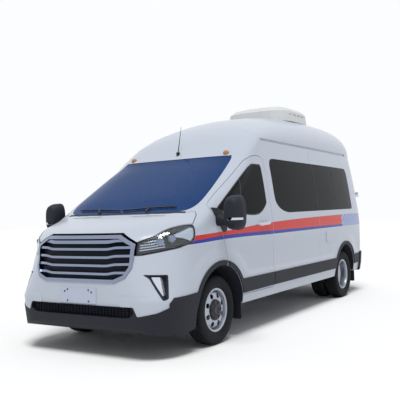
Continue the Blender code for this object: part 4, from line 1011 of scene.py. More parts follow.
def make_roof():
    roof = crust(0.0, ROOF_WALL, through(ROOF_LINE, -FIT / 2))
    channel = side_zone(rect(-0.700, 2.420, 2.200, 2.226), 0.0, 0.5)
    cut(roof, *both_sides(crust(-0.02, 0.014, channel)))
    place(roof, "roof_cap", VAN, PAINT, "high_roof", ["high_roof"])


def make_bonnet():
    bonnet = crust(0.0, BONNET_WALL, bonnet_zone(-GAP / 2))
    flange = keep(core(BONNET_FLANGE), box(-1.2, 1.2, BEFORE, -2.335, 1.0, 1.8))
    cut(bonnet, cut(flange, bonnet_zone(-0.045)))
    slot = rounded([(0.200, -2.404), (0.610, -2.374), (0.625, -2.350), (0.225, -2.378)], 0.012)
    cut(bonnet, *[recess(0.010, one) for one in both_sides(prism("Z", slot, 1.20, 1.50))])
    place(bonnet, "bonnet_panel", "bonnet", PAINT, "bonnet", ["bonnet"])
    floors = [crust(0.007, 0.012, one) for one in both_sides(prism("Z", grow(slot, -0.002), 1.20, 1.50))]
    place(joined(floors, "grooves"), "bonnet_slots", "bonnet", TRIM, "bonnet")


def make_front_door(side):
    door = crust(0.0, DOOR_WALL, side_zone(DOOR_LINE, -GAP / 2, DOOR_INNER_X))
    cut(door, front_house(), side_zone(DOOR_GLASS_LINE))
    band = cut(crust(-CLADDING, -FIT, side_zone(DOOR_BAND)), front_house())
    seal = cut(crust(*SEAL_LAYER, side_zone(DOOR_GLASS_LINE)), side_zone(DOOR_GLASS_LINE, -0.014))
    divider = crust(*SEAL_LAYER, side_zone(rect(-1.452, -1.432, 1.300, 1.740)))
    handle = cut(crust(-0.033, 0.004, side_zone(HANDLE_LINE)), crust(-0.022, -0.001, side_zone(HANDLE_ROOM)))
    sail = crust(-0.007, 0.002, side_zone(SAIL_LINE))
    node = "front_door_" + SIDES[side]
    put(side, door, "door", PAINT, node, node, replaces=[node])
    put(side, band, "door_band", TRIM, node, node)
    put(side, seal, "door_seal", SEAL, node, node)
    put(side, divider, "door_divider", SEAL, node, node)
    put(side, handle, "door_handle", HANDLE, node, node, bevel=0.004)
    put(side, sail, "mirror_foot", TRIM, node, node)


def glass(zone):
    return crust(GLASS_SINK, GLASS_SINK + GLASS_WALL, zone)


def make_pane(name, outline, side, body, node):
    place(sided(glass(side_zone(outline, -FIT)), side), name, body, GLASS_SIDE, node, [node])


def make_sliding_door():
    door = cut(crust(0.0, DOOR_WALL, side_zone(SLIDING_LINE, -GAP / 2)), side_zone(SLIDE_FRONT_GLASS))
    place(sided(door, -1), "slide_door", VAN, PAINT, "sliding_door", ["sliding_door"])
    handle = crust(-0.029, 0.004, side_zone(SLIDE_HANDLE))
    place(sided(handle, -1), "slide_handle", VAN, HANDLE, "sliding_door", bevel=0.004)
    rail = crust(-0.004, 0.004, side_zone(rect(0.680, 2.240, 1.268, 1.292)))
    cut(rail, crust(-0.010, 0.002, side_zone(rect(0.690, 2.230, 1.276, 1.284))))
    place(sided(rail, -1), "slide_rail", VAN, SATIN, "body_shell")


def make_rear_door(side):
    door = crust(0.0, DOOR_WALL, rear_zone(REAR_DOOR_LINE, -GAP / 2))
    cut(door, rear_zone(REAR_GLASS_LINE), keep(core(REAR_FLANGE), rear_zone(REAR_EDGE)))
    node, pane_node = "rear_door_" + SIDES[side], "rear_glass_" + SIDES[side]
    put(side, door, "back_door", PAINT, node, node, replaces=[node])
    pane = glass(rear_zone(REAR_GLASS_LINE, -FIT))
    put(side, pane, "back_glass", GLASS_SIDE, pane_node, node, replaces=[pane_node])


def make_bumpers():
    zone = cut(through(BUMPER_LINE), through(LOWER_LINE, FIT, 1.40), front_zone(GRILLE_LINE, FIT))
    bumper = crust(0.0, BUMPER_WALL, zone)
    add(bumper, keep(front_zone(PLATE_BOSS, 0.0, PLATE_FACE, -2.930), core(-0.010)))
    add(bumper, crust(-0.004, BUMPER_WALL - 0.002, both_zones(WING_LINE)))
    cut(bumper, *both_sides(recess(0.036, nose_zone(RECESS_LINE))))
    place(bumper, "bumper", VAN, PAINT, "front_bumper", ["front_bumper"])
    lower = crust(-CLADDING, BUMPER_WALL, through(LOWER_LINE))
    cut(lower, recess(0.030, nose_zone(INTAKE_LINE)), both_zones(WING_LINE, 0.003))
    place(lower, "bumper_lower", VAN, TRIM, "lower_bumper", ["lower_bumper"])
    rear = crust(-0.025, BUMPER_WALL, rear_bumper_zone(-FIT))
    place(rear, "bumper_rear", VAN, TRIM, "rear_bumper", ["rear_bumper"])


def make_panels():
    make_body()
    make_roof()
    make_bonnet()
    make_sliding_door()
    make_bumpers()
    screen = glass(screen_zone(SCREEN_LINE, -FIT))
    place(screen, "front_screen", VAN, GLASS_FRONT, "windscreen", ["windscreen"])
    for side, word in SIDES.items():
        make_front_door(side)
        make_rear_door(side)
        node = "side_cladding_" + word
        put(side, crust(-CLADDING, -FIT, side_zone(SIDE_BAND)), "side_band", TRIM, node, replaces=[node])
        make_pane("cab_pane_" + word, DOOR_GLASS_LINE, side, "front_door_" + word, "door_glass_" + word)
    make_pane("room_pane_left", SIDE_GLASS_LINE, 1, VAN, "side_glass_left")
    make_pane("room_pane_right", SLIDE_REAR_GLASS, -1, VAN, "side_glass_right")
    make_pane("slide_pane", SLIDE_FRONT_GLASS, -1, VAN, "sliding_door_glass")


# Wheels

TREAD_HALF = [
    (0.0675, 0.2055), (0.0700, 0.2150), (0.0725, 0.2240), (0.0800, 0.2320), (0.0870, 0.2420),
    (0.0920, 0.2550), (0.0938, 0.2620), (0.0925, 0.2640), (0.0960, 0.2700), (0.0978, 0.2820),
    (0.0980, 0.2960), (0.0966, 0.3060), (0.0948, 0.3080), (0.0952, 0.3130), (0.0915, 0.3240),
    (0.0870, 0.3340), (0.0800, 0.3400), (0.0700, 0.3450), (0.0610, 0.3475), (0.0600, 0.3400),
    (0.0530, 0.3400), (0.0520, 0.3482), (0.0270, 0.3488), (0.0260, 0.3405), (0.0190, 0.3405),
    (0.0180, 0.3490),
]


def tread_cut(i, offset, radius):
    """Cross grooves between the tread's blocks."""
    if radius < 0.3405:
        return 0.0
    if abs(offset) > 0.0605:
        return -0.0070 if i % 4 == 0 else 0.0
    return -0.0050 if (i + (2 if abs(offset) < 0.030 else 0)) % 4 == 0 else 0.0


def make_tyre(x, y, side, name, body, node):
    profile = TREAD_HALF + [(-offset, radius) for offset, radius in reversed(TREAD_HALF)]
    tyre = turned(profile, x, y, TYRE_RADIUS, side, 208, tread_cut)
    place(tyre, name, body, RUBBER, node, [node], angle=28.0)


RIM_BARREL = [
    (0.0755, 0.2175), (0.0745, 0.2210), (0.0718, 0.2218), (0.0700, 0.2190), (0.0690, 0.2090),
    (0.0672, 0.2050), (-0.0672, 0.2050), (-0.0690, 0.2090), (-0.0700, 0.2190), (-0.0718, 0.2218),
    (-0.0745, 0.2210), (-0.0755, 0.2175), (-0.0740, 0.2060), (-0.0690, 0.2000), (-0.0500, 0.1975),
    (0.0200, 0.1930), (0.0320, 0.1920), (0.0560, 0.1965), (0.0690, 0.2000), (0.0740, 0.2060),
]
FRONT_FACE = [
    (0.0240, 0.1940), (0.0330, 0.1900), (0.0440, 0.1820), (0.0540, 0.1700), (0.0600, 0.1560),
    (0.0630, 0.1380), (0.0640, 0.1180), (0.0620, 0.1120), (0.0620, 0.0), (0.0500, 0.0),
    (0.0500, 0.1180), (0.0480, 0.1500), (0.0400, 0.1680), (0.0300, 0.1800), (0.0160, 0.1900),
    (0.0160, 0.1940),
]
HUB_COVER = [
    (0.0600, 0.1080), (0.0680, 0.1070), (0.0750, 0.1030), (0.0775, 0.0960), (0.0780, 0.0620),
    (0.0810, 0.0580), (0.0845, 0.0520), (0.0850, 0.0440), (0.0835, 0.0400), (0.0835, 0.0),
    (0.0600, 0.0),
]
REAR_FACE = [
    (0.0890, 0.1945), (0.0780, 0.1830), (0.0620, 0.1700), (0.0440, 0.1520), (0.0330, 0.1320),
    (0.0290, 0.1120), (0.0290, 0.0), (0.0150, 0.0), (0.0150, 0.1120), (0.0200, 0.1360),
    (0.0320, 0.1560), (0.0500, 0.1740), (0.0660, 0.1870), (0.0760, 0.1960),
]
REAR_HUB = [
    (0.0270, 0.0740), (0.0440, 0.0720), (0.0480, 0.0660), (0.0860, 0.0620), (0.0930, 0.0580),
    (0.0950, 0.0500), (0.0950, 0.0), (0.0270, 0.0),
]
HOLES = 8
NUTS = 6


def round_the_hub(y, ring, count, shift=0.0):
    """Places (y, z) spread evenly on a circle round a wheel's axle."""
    turns = [2 * math.pi * (i + shift) / count for i in range(count)]
    return [(y + ring * math.cos(a), TYRE_RADIUS + ring * math.sin(a)) for a in turns]


def wheel_face(profile, x, y, side, ring, radius):
    """A wheel's disc with its ring of round holes."""
    holes = [
        rod("X", centre, radius, x - side * 0.02, x + side * 0.12, 28)
        for centre in round_the_hub(y, ring, HOLES, 0.5)
    ]
    return cut(turned(profile, x, y, TYRE_RADIUS, side), joined(holes, "holes"))


def wheel_nuts(x, y, side, ring, radius, base, top):
    nuts = []
    for centre in round_the_hub(y, ring, NUTS):
        nuts.append(rod("X", centre, radius, x + side * base, x + side * top, 6))
        nuts.append(rod("X", centre, radius * 1.35, x + side * base, x + side * (base + 0.003), 20))
    return joined(nuts, "nuts")


def make_wheels(side):
    word = SIDES[side]
    x, y, z = side * FRONT_WHEEL_X, FRONT_AXLE_Y, TYRE_RADIUS
    body, rim = "front_wheel_" + word, "front_rim_" + word
    make_tyre(x, y, side, "tyre_front_" + word, body, "front_tyre_" + word)
    place(turned(RIM_BARREL, x, y, z, side), "barrel_front_" + word, body, SILVER, rim, [rim])
    face = wheel_face(FRONT_FACE, x, y, side, 0.1495, 0.0265)
    place(face, "face_front_" + word, body, SILVER, rim, bevel=0.002)
    place(turned(HUB_COVER, x, y, z, side, 72), "hub_cover_" + word, body, SATIN, rim)
    nuts = wheel_nuts(x, y, side, 0.079, 0.0095, 0.077, 0.0845)
    place(nuts, "hub_nuts_" + word, body, DARK_METAL, rim)
    x, y = side * (REAR_OUTER_X + REAR_INNER_X) / 2, REAR_AXLE_Y
    spread = side * (REAR_OUTER_X - REAR_INNER_X) / 2
    body, rim = "rear_wheels_" + word, "rear_rims_" + word
    make_tyre(side * REAR_OUTER_X, y, side, "tyre_outer_" + word, body, "rear_tyre_outer_" + word)
    make_tyre(side * REAR_INNER_X, y, side, "tyre_inner_" + word, body, "rear_tyre_inner_" + word)
    place(turned(RIM_BARREL, x + spread, y, z, side), "barrel_outer_" + word, body, SILVER, rim, [rim])
    place(turned(RIM_BARREL, x - spread, y, z, -side), "barrel_inner_" + word, body, SILVER, rim)
    for facing, name, finish in ((side, "face_outer_", SILVER), (-side, "face_inner_", DARK_METAL)):
        face = wheel_face(REAR_FACE, x, y, facing, 0.146, 0.0200)
        place(face, name + word, body, finish, rim, bevel=0.002)
    place(turned(REAR_HUB, x, y, z, side, 64), "hub_rear_" + word, body, DARK_METAL, rim)
    place(wheel_nuts(x, y, side, 0.092, 0.0105, 0.028, 0.050), "nuts_rear_" + word, body, STEEL, rim)


# Nose, lamps and trim

def bar_line(height, half, reach=0.640):
    """A grille bar's outline, lifted a little at both ends."""
    xs = [-reach + 2 * reach * i / 40 for i in range(41)]
    rises = [height + 0.014 * smoothstep(0.34, 0.46, abs(x)) for x in xs]
    top = [(x, rise + half) for x, rise in zip(xs, rises)]
    return top + [(x, rise - half) for x, rise in reversed(list(zip(xs, rises)))]


BAR_HEIGHTS = (0.795, 0.872, 0.949, 1.026)
BAND_HEIGHT = 1.094


def make_grille():
    ring = cut(front_zone(GRILLE_LINE, -FIT), front_zone(GRILLE_LINE, -0.034, -3.30, -1.90))
    place(crust(-0.006, 0.055, ring), "grille_frame", VAN, CHROME, "grille", ["grille"], bevel=0.004)
    place(crust(0.046, 0.055, front_zone(GRILLE_LINE, -0.032)), "grille_back", VAN, GRILLE_DARK, "grille")
    for i, height in enumerate(BAR_HEIGHTS):
        bar = crust(0.004, 0.026, front_zone(bar_line(height, 0.0115)), front_zone(GRILLE_LINE, -0.030))
        place(bar, "grille_bar_%d" % (i + 1), VAN, CHROME, "grille", bevel=0.005)
    band = crust(0.002, 0.030, front_zone(bar_line(BAND_HEIGHT, 0.016)), front_zone(GRILLE_LINE, -0.030))
    place(band, "grille_band", VAN, CHROME, "grille", bevel=0.006)


LAMP_BLADE = [
    (-2.640, 1.128), (-2.460, 1.190), (-2.386, 1.215), (-2.392, 1.130), (-2.440, 1.078), (-2.520, 1.105),
]
LAMP_RIB = [(-2.930, 0.985), (-2.680, 1.030), (-2.680, 1.040), (-2.930, 0.995)]
RIB_STEP = 0.022
POD_PLACES = ((-2.700, 1.082), (-2.610, 1.108))
POD_RINGS = ((0.030, 0.036, -0.030, 0.022), (0.0, 0.027, -0.020, 0.014))


def make_headlamp(side):
    node = "headlamp_" + SIDES[side]
    tub = cut(crust(0.0015, LAMP_DEPTH, lamp_zone(-FIT)), crust(-0.010, 0.066, lamp_zone(-0.011)))
    put(side, tub, "lamp_tub", SATIN, node, replaces=[node])
    put(side, crust(0.0005, 0.0045, lamp_zone(-0.0115)), "lamp_lens", CLEAR, node)
    blade = crust(0.012, 0.030, side_zone(LAMP_BLADE), lamp_zone(-0.013))
    put(side, blade, "lamp_blade", SILVER_LAMP, node, bevel=0.003)
    ribs = [side_zone([(y, z + RIB_STEP * i) for y, z in LAMP_RIB]) for i in range(5)]
    strips = crust(0.020, 0.034, joined(ribs, "ribs"), lamp_zone(-0.014))
    put(side, strips, "lamp_ribs", SILVER_LAMP, node, bevel=0.002)
    pods = []
    facing = Matrix.Rotation(math.radians(-62), 4, "Z")
    for y, z in POD_PLACES:
        spot = Matrix.Translation((half_width(y, z) - 0.042, y, z)) @ facing
        for inner, outer, start, end in POD_RINGS:
            pod = turned([(end, inner), (end, outer), (start, outer), (start, inner)], 0.0, 0.0, 0.0, 1, 40)
            pod.data.transform(spot)
            pods.append(pod)
    put(side, joined(pods, "pods"), "lamp_pods", CHROME, node)


def make_fog_recess(side):
    tub = crust(-0.002, 0.035, nose_zone(RECESS_LINE, -0.001))
    cut(tub, crust(-0.020, 0.028, nose_zone(RECESS_LINE, -0.012)))
    put(side, tub, "recess", TRIM, "front_bumper", bevel=0.002)
    lamp = crust(0.006, 0.027, nose_zone(RECESS_LAMP))
    put(side, lamp, "day_lamp", SILVER_LAMP, "front_bumper", bevel=0.003)


def make_plate():
    outline = rounded(rect(-0.220, 0.220, 0.517, 0.657), 0.010)
    plate = prism("Y", outline, PLATE_FACE - 0.0015, PLATE_FACE + 0.001)
    place(plate, "blank_plate", VAN, PLATE, "front_bumper", bevel=0.0006)
    bolts = []
    for x, z in ((0.135, 0.640), (0.135, 0.534), (0.172, 0.622)):
        for centre in ((-x, z), (x, z)):
            bolts.append(rod("Y", centre, 0.009, PLATE_FACE - 0.0035, PLATE_FACE, 20))
            bolts.append(rod("Y", centre, 0.0045, PLATE_FACE - 0.0055, PLATE_FACE, 6))
    place(joined(bolts, "bolts"), "plate_bolts", VAN, DARK_METAL, "front_bumper")


def make_intake():
    xs = [-0.58 + 0.04 * i for i in range(30)]
    zs = [0.410 + 0.018 * i for i in range(5)]
    uprights = [box(x - 0.002, x + 0.002, BEFORE, -2.60, 0.390, 0.505) for x in xs]
    rails = [box(-0.64, 0.64, BEFORE, -2.60, z - 0.0015, z + 0.0015) for z in zs]
    grids = (joined(uprights, "uprights"), joined(rails, "rails"))
    bars = [crust(0.016, 0.031, grid, nose_zone(INTAKE_LINE, -0.001)) for grid in grids]
    place(joined(bars, "mesh"), "intake_mesh", VAN, GRILLE_DARK, "lower_bumper")
    lip_line = rounded([(-0.66, 0.330), (0.66, 0.330), (0.70, 0.385), (-0.70, 0.385)], 0.02)
    lip = crust(-0.0118, -0.004, front_zone(lip_line, 0.0, BEFORE, -2.70))
    place(lip, "bumper_lip", VAN, LIP, "lower_bumper", bevel=0.004)


def on_screen(x, y, lift):
    """A point on the windscreen's curve, lifted off it."""
    shoulder, top, power = shoulder_height(y), top_height(y), roundness(y)
    reach = half_width(y, shoulder)
    across = min(0.999, (abs(x) / reach) ** (power / 2))
    z = shoulder + (top - shoulder) * math.sqrt(1 - across * across) ** (2 / power)
    rise = slope(top_height, y)
    length = math.hypot(1.0, rise)
    return Vector((x, y - lift * rise / length, z + lift / length))


WIPER_ROOT_Y = -2.292
WIPERS = ((-0.660, -0.060, -2.190, -2.238, -0.300), (-0.020, 0.640, -2.238, -2.190, 0.340))


def make_wipers():
    for i, (x0, x1, y0, y1, root_x) in enumerate(WIPERS):
        steps = [k / 16 for k in range(17)]
        blade = [on_screen(x0 + (x1 - x0) * t, y0 + (y1 - y0) * t, 0.010) for t in steps]
        middle = blade[8]
        low, root, high = (on_screen(root_x, WIPER_ROOT_Y, lift) for lift in (0.010, 0.022, 0.026))
        arm = [low, root, (middle + high) / 2, middle + Vector((0.0, -0.006, 0.010))]
        wiper = joined([tube(blade, 0.0075, 8), tube(arm, [0.012, 0.011, 0.009, 0.006], 8)], "wiper")
        place(wiper, "wiper_%d" % (i + 1), VAN, SATIN, "windscreen")


def make_nose():
    make_grille()
    make_plate()
    make_intake()
    place(crust(-0.001, 0.006, prism("Z", COWL_LINE, 1.20, 1.50)), "cowl", VAN, TRIM, "body_shell")
    make_wipers()


MIRROR_X = 1.225
MIRROR_Z = 1.335
MIRROR_FRONT_Y = -2.1425
MIRROR_DEPTH = 0.1675
MIRROR_STATIONS = (MIRROR_FRONT_Y, -2.140, -2.125, -2.100, -2.040, -1.975)
mirror_half, mirror_low, mirror_high = (
    smooth_curve(list(zip(MIRROR_STATIONS, values))) for values in (
        (0.030, 0.052, 0.072, 0.085, 0.100, 0.100),
        (1.262, 1.232, 1.205, 1.185, 1.165, 1.160),
        (1.405, 1.440, 1.468, 1.485, 1.505, 1.510),
    )
)
MIRROR_ARM = (
    (1.005, -1.985, 1.262, 0.060, 0.060), (1.050, -2.000, 1.256, 0.050, 0.050),
    (1.090, -2.025, 1.248, 0.036, 0.040), (1.130, -2.040, 1.245, 0.032, 0.038),
    (1.190, -2.045, 1.245, 0.032, 0.038),
)


def mirror_form(side, extra):
    """The mirror's rounded housing, larger by extra all round."""
    rings = []
    for i in range(25):
        y = MIRROR_FRONT_Y + MIRROR_DEPTH * (1 - math.cos(math.pi / 2 * i / 24))
        middle = (side * MIRROR_X, y, (mirror_low(y) + mirror_high(y)) / 2)
        tall = (mirror_high(y) - mirror_low(y)) / 2 + extra
        rings.append(oval(middle, (mirror_half(y) + extra, 0, 0), (0, 0, tall), 3.0, 56))
    return loft("mirror", rings)


def mirror_disc(side, half, tall, start, end):
    """A flat rounded disc in the mirror's open side."""
    ring = oval((side * MIRROR_X, 0, MIRROR_Z), (half, 0, 0), (0, 0, tall), 3.4, 40)
    return prism("Y", [(p.x, p.z) for p in ring], start, end)


def make_mirror(side):
    word = SIDES[side]
    node, body = "mirror_" + word, "front_door_" + word
    housing = cut(mirror_form(side, 0.0), mirror_disc(side, 0.088, 0.162, -1.984, -1.90))
    place(housing, "mirror_housing_" + word, body, TRIM, node, [node])
    band = box(*sorted((side * 1.205, side * 1.340)), -2.20, -2.045, 1.262, 1.284)
    place(keep(mirror_form(side, 0.0012), band), "mirror_signal_" + word, body, SILVER_LAMP, node)
    place(mirror_disc(side, 0.086, 0.160, -1.986, -1.981), "mirror_glass_" + word, body, MIRROR, node)
    rings = [oval((side * x, y, z), (0, deep, 0), (0, 0, tall), 2.6, 32)
             for x, y, z, deep, tall in MIRROR_ARM]
    place(loft("arm", rings), "mirror_arm_" + word, body, TRIM, node)


FLAP_OUTER_X = 0.972
WINDOW_BARS = {1: (0.780, 1.560), -1: (1.500,)}
HINGE_X = 0.880
HINGE_Y = 2.905
HINGE_RADIUS = 0.012
HINGE_TALL = 0.040
HINGES = ((0.740, 2.800, 0.780), (1.540, 2.740, 0.700))


def make_side_trim(side):
    flaps = []
    for inner_x, y, start, end in ((0.775, -1.508, -1.6, -1.4), (0.640, 2.290, 2.2, 2.4)):
        corner = prism("Y", rounded(rect(inner_x, FLAP_OUTER_X, 0.190, 0.430), 0.02), start, end)
        flaps.append(keep(box(inner_x, FLAP_OUTER_X, y, y + 0.011, 0.190, 0.420), corner))
    put(side, joined(flaps, "flaps"), "mud_flaps", TRIM, "side_cladding_" + SIDES[side], bevel=0.002)
    bars = [crust(0.0015, 0.014, side_zone(rect(y - 0.011, y + 0.011, 1.325, 1.985)))
            for y in WINDOW_BARS[side]]
    put(side, joined(bars, "bars"), "window_bars", SEAL, "side_glass_" + SIDES[side])


def make_tail_lamp(side):
    node = "tail_lamp_" + SIDES[side]
    parts = (
        ("tail_amber", AMBER_LENS, rect(2.70, 3.10, 1.215, 1.300)),
        ("tail_clear", SILVER_LAMP, rect(2.70, 3.10, 1.130, 1.214)),
    )
    whole = crust(-0.004, 0.040, tail_zone(-FIT))
    cut(whole, *[side_zone(outline, 0.0, 0.70) for _, _, outline in parts])
    put(side, whole, "tail_red", RED_LENS, node, replaces=[node], bevel=0.003)
    for name, finish, outline in parts:
        lens = crust(-0.003, 0.038, side_zone(outline, -0.001, 0.82, 1.2), tail_zone(-0.001))
        put(side, lens, name, finish, node, bevel=0.002)


def make_rear_hinges(side):
    brackets, straps = [], []
    for z, root_y, root_x in HINGES:
        upper = z + HINGE_TALL + 0.002
        brackets.append(rod("Z", (HINGE_X, HINGE_Y), HINGE_RADIUS, z, z + HINGE_TALL, 24))
        brackets.append(box(0.866, 0.888, root_y, HINGE_Y, z, z + HINGE_TALL))
        straps.append(rod("Z", (HINGE_X, HINGE_Y), HINGE_RADIUS, upper, upper + HINGE_TALL, 24))
        straps.append(box(root_x, HINGE_X, 2.897, 2.912, upper, upper + HINGE_TALL))
    put(side, joined(brackets, "hinges"), "rear_hinges", HANDLE, "body_shell", bevel=0.002)
    door = "rear_door_" + SIDES[side]
    put(side, joined(straps, "straps"), "rear_straps", HANDLE, door, door, bevel=0.002)


def make_arch_liners(side):
    for y, inner_x, tag in ARCHES:
        liner = rod("X", (y, ARCH_Z), ARCH_RADIUS - 0.0005, inner_x + 0.001, 1.20, 72)
        cut(liner, rod("X", (y, ARCH_Z), ARCH_RADIUS - 0.005, inner_x - 0.010, 1.25, 72))
        keep(liner, core(0.004), box(0.0, BESIDE, y - 0.6, y + 0.6, SILL_BOTTOM + 0.012, 1.0))
        put(side, liner, "arch_liner_" + tag, TRIM, "body_shell")


def make_rear_details():
    door = "rear_door_left"
    plate = crust(-0.004, 0.002, rear_zone(rounded(rect(0.145, 0.585, 0.990, 1.130), 0.012)))
    place(plate, "rear_plate", door, PLATE, door, bevel=0.001)
    light = crust(-0.010, 0.001, rear_zone(rounded(rect(0.200, 0.530, 1.145, 1.175), 0.012)))
    place(light, "plate_light", door, TRIM, door, bevel=0.003)
    for side, word in SIDES.items():
        base = crust(-0.004, 0.002, rear_zone(rounded(rect(0.030, 0.075, 1.050, 1.270), 0.012)))
        grip = crust(-0.014, -0.003, rear_zone(rounded(rect(0.040, 0.066, 1.075, 1.245), 0.010)))
        door = "rear_door_" + word
        put(side, joined([base, grip], "handle"), "rear_handle", SATIN, door, door, bevel=0.002)
    lamp_line = rounded([(-0.170, 2.225), (0.170, 2.225), (0.150, 2.255), (-0.150, 2.255)], 0.010)
    brake_lamp = crust(-0.006, 0.004, front_zone(lamp_line, 0.0, 2.50, BEHIND))
    place(brake_lamp, "high_brake_lamp", VAN, RED_LENS, "high_roof", bevel=0.002)
    cover = crust(-0.012, 0.001, side_zone(rounded(rect(0.970, 1.130, 0.885, 1.045), 0.022)))
    place(cover, "power_inlet_cover", VAN, PAINT, "body_shell", bevel=0.004)


# Inside

CHAIR_X = -0.150
CHAIR_Y = 0.600
CHAIR_BASE = (
    (0.701, 0.245, 0.345), (0.728, 0.245, 0.345), (0.738, 0.225, 0.325), (0.745, 0.120, 0.160),
    (0.800, 0.100, 0.130), (0.980, 0.100, 0.130), (1.010, 0.180, 0.260),
)
CHAIR_PADS = (
    ("chair_legs", (0.0, -0.600, 1.072), (0.245, 0.300, 0.046), 0.0, (-0.4, 0.3)),
    ("chair_seat", (0.0, -0.020, 1.068), (0.262, 0.285, 0.050), 0.0, (0.0,)),
    ("chair_back", (0.0, 0.535, 1.228), (0.255, 0.325, 0.046), 27.5, (-0.3, 0.35)),
    ("chair_head", (0.0, 0.925, 1.432), (0.125, 0.135, 0.042), 27.5, ()),
)
CHAIR_ARM = ((0.275, 0.05, 1.07), (0.295, 0.05, 1.20), (0.295, 0.12, 1.235), (0.295, 0.36, 1.262))
SEAT_Y = -1.130
SEAT_BASE = ((0.702, 0.015), (0.760, 0.030), (0.860, 0.030), (0.888, 0.010), (0.905, 0.010))
DRAWERS = ((0.760, 1.010), (1.018, 1.205))
DRAWER_PITCH = 0.395
TAP_LINE = (
    (0.865, 0.950, 1.258), (0.865, 0.950, 1.380), (0.850, 0.950, 1.410), (0.815, 0.950, 1.418),
    (0.770, 0.950, 1.405), (0.760, 0.950, 1.375),
)


def pad(node, name, centre, half, tilt=0.0, seams=(), finish=FABRIC):
    piece = cushion(centre, half, seams, tilt)
    place(piece, name, VAN, finish, node, [node], angle=60.0)


def make_seat(node, x, width, places):
    word = node.split("_")[0]
    base = [oval((x, SEAT_Y - 0.02, z), (width / 2 - inset, 0, 0), (0, 0.23 - inset, 0), 5.0, 48)
            for z, inset in SEAT_BASE]
    place(loft("base", base), word + "_seat_base", VAN, DASH, node, [node])
    share = width / places
    for i in range(places):
        px = x - width / 2 + share * (i + 0.5)
        tag = word + "_%d" % (i + 1)
        seat_half, back_half = (share / 2 - 0.006, 0.245, 0.062), (share / 2 - 0.010, 0.310, 0.058)
        pad(node, tag + "_cushion", (px, SEAT_Y - 0.030, 0.972), seat_half, 4.0, (-0.45, 0.05, 0.5))
        pad(node, tag + "_back", (px, SEAT_Y + 0.235, 1.290), back_half, 78.0, (-0.5, 0.0, 0.5))
        pad(node, tag + "_head", (px, SEAT_Y + 0.355, 1.700), (0.115, 0.090, 0.042), 84.0)
        posts = [rod("Z", (px + dx, SEAT_Y + 0.345), 0.006, 1.560, 1.660, 12) for dx in (-0.06, 0.06)]
        place(joined(posts, "posts"), tag + "_posts", VAN, STEEL, node)


def make_dental_chair():
    node = "dental_chair"
    base = [oval((CHAIR_X, CHAIR_Y, z), (a, 0, 0), (0, b, 0), 4.0, 56) for z, a, b in CHAIR_BASE]
    place(loft("base", base), "chair_base", VAN, LAMINATE, node, [node])
    for name, (x, y, z), half, tilt, seams in CHAIR_PADS:
        pad(node, name, (CHAIR_X + x, CHAIR_Y + y, z), half, tilt, seams, VINYL)
    arms = [tube([(CHAIR_X + side * x, CHAIR_Y + y, z) for x, y, z in CHAIR_ARM], 0.014, 12)
            for side in SIDES]
    place(joined(arms, "arms"), "chair_arms", VAN, DASH, node)


def make_inside():
    make_seat("driver_seat", 0.460, 0.500, 1)
    make_seat("passenger_seat", -0.400, 0.780, 2)
    make_dental_chair()
    fronts, pulls = [], []
    for i in range(4):
        y0, y1 = -0.330 + DRAWER_PITCH * i, 0.055 + DRAWER_PITCH * i
        for z0, z1 in DRAWERS:
            fronts.append(box(0.548, 0.5598, y0, y1, z0, z1))
            ends = [(0.540, (y0 + y1) / 2 + reach, z1 - 0.035) for reach in (-0.06, 0.06)]
            pulls.append(tube(ends, 0.006, 10))
    place(joined(fronts, "fronts"), "cabinet_fronts", VAN, LAMINATE, "cabinet", bevel=0.003)
    place(joined(pulls, "pulls"), "cabinet_pulls", VAN, STEEL, "cabinet")
    place(tube(TAP_LINE, 0.010, 14), "basin_tap", VAN, CHROME, "cabinet")


def finish_carried_nodes():
    """Finishes of the solids that stay as they are."""
    for finish, names in (
        (DARK_METAL, "chassis_frame front_subframe rear_axle knuckle_left knuckle_right engine_block"),
        (DASH, "fuel_tank dashboard"), (STEEL, "exhaust"), (SATIN, "antenna"),
        (AMBER_LENS, "marker_lamp_left marker_lamp_right"), (ROOF_PLASTIC, "roof_unit"),
        (LAMINATE, "cabinet"),
    ):
        for name in names.split():
            data = NODES[name].data
            data.materials.clear()
            data.materials.append(finish)


# Stage, light and camera

FLOOR_HALF = 60.0
AMBIENT = 0.40
SUN_STRENGTH = 2.4
SUN_SPREAD = 25
SUN_FROM = (0.20, -0.30, 0.93)


def make_floor():
    bm = bmesh.new()
    bmesh.ops.create_grid(bm, x_segments=1, y_segments=1, size=FLOOR_HALF)
    floor = new_object("floor", bm)
    plain = bpy.data.materials.new("floor")
    plain.use_nodes = True
    shader = plain.node_tree.nodes["Principled BSDF"]
    shader.inputs["Base Color"].default_value = (0.93, 0.93, 0.93, 1.0)
    shader.inputs["Roughness"].default_value = 0.9
    shader.inputs["Specular IOR Level"].default_value = 0.1
    floor.data.materials.append(plain)


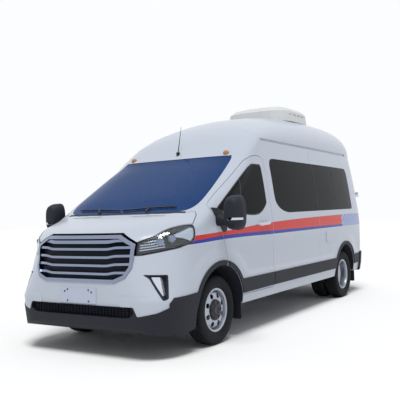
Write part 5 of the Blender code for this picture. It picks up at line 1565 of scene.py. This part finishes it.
def make_world():
    """White where the camera, gloss and glass see it, and dimmer as a light."""
    world = bpy.data.worlds.new("studio")
    bpy.context.scene.world = world
    world.use_nodes = True
    tree = world.node_tree
    background = tree.nodes["Background"]
    background.inputs["Color"].default_value = (0.97, 0.985, 1.0, 1.0)
    path = tree.nodes.new("ShaderNodeLightPath")
    seen = path.outputs["Is Camera Ray"]
    for ray in ("Is Transmission Ray", "Is Glossy Ray"):
        either = tree.nodes.new("ShaderNodeMath")
        either.operation = "MAXIMUM"
        tree.links.new(seen, either.inputs[0])
        tree.links.new(path.outputs[ray], either.inputs[1])
        seen = either.outputs[0]
    strength = tree.nodes.new("ShaderNodeMapRange")
    strength.inputs["To Min"].default_value = AMBIENT
    strength.inputs["To Max"].default_value = 1.0
    tree.links.new(seen, strength.inputs["Value"])
    tree.links.new(strength.outputs[0], background.inputs["Strength"])


def make_stage():
    make_floor()
    make_world()
    lamp = bpy.data.lights.new("sun", "SUN")
    lamp.energy = SUN_STRENGTH
    lamp.angle = math.radians(SUN_SPREAD)
    sun = bpy.data.objects.new("sun", lamp)
    sun.rotation_mode = "QUATERNION"
    sun.rotation_quaternion = Vector(SUN_FROM).to_track_quat("Z", "Y")
    bpy.context.scene.collection.objects.link(sun)
    bpy.context.scene.view_settings.view_transform = "Standard"


def make_camera():
    yaw, pitch, roll = (math.radians(a) for a in (CAMERA_YAW, CAMERA_PITCH, CAMERA_ROLL))
    ahead = Vector((-math.sin(yaw) * math.cos(pitch), math.cos(yaw) * math.cos(pitch), math.sin(pitch)))
    right = Vector((math.cos(yaw), math.sin(yaw), 0.0))
    up = right.cross(ahead)
    turned_right = right * math.cos(roll) + up * math.sin(roll)
    turned_up = up * math.cos(roll) - right * math.sin(roll)
    data = bpy.data.cameras.new("camera")
    data.sensor_width = SENSOR
    data.lens = FOCAL_PIXELS / FRAME_PIXELS * SENSOR
    camera = bpy.data.objects.new("camera", data)
    turn = Matrix((turned_right, turned_up, -ahead)).transposed().to_4x4()
    camera.matrix_world = Matrix.Translation(CAMERA_PLACE) @ turn
    bpy.context.scene.collection.objects.link(camera)
    bpy.context.scene.camera = camera


make_stage()
make_camera()
make_panels()
make_nose()
make_rear_details()
for van_side in SIDES:
    make_wheels(van_side)
    make_headlamp(van_side)
    make_fog_recess(van_side)
    make_mirror(van_side)
    make_side_trim(van_side)
    make_tail_lamp(van_side)
    make_rear_hinges(van_side)
    make_arch_liners(van_side)
make_inside()
finish_carried_nodes()
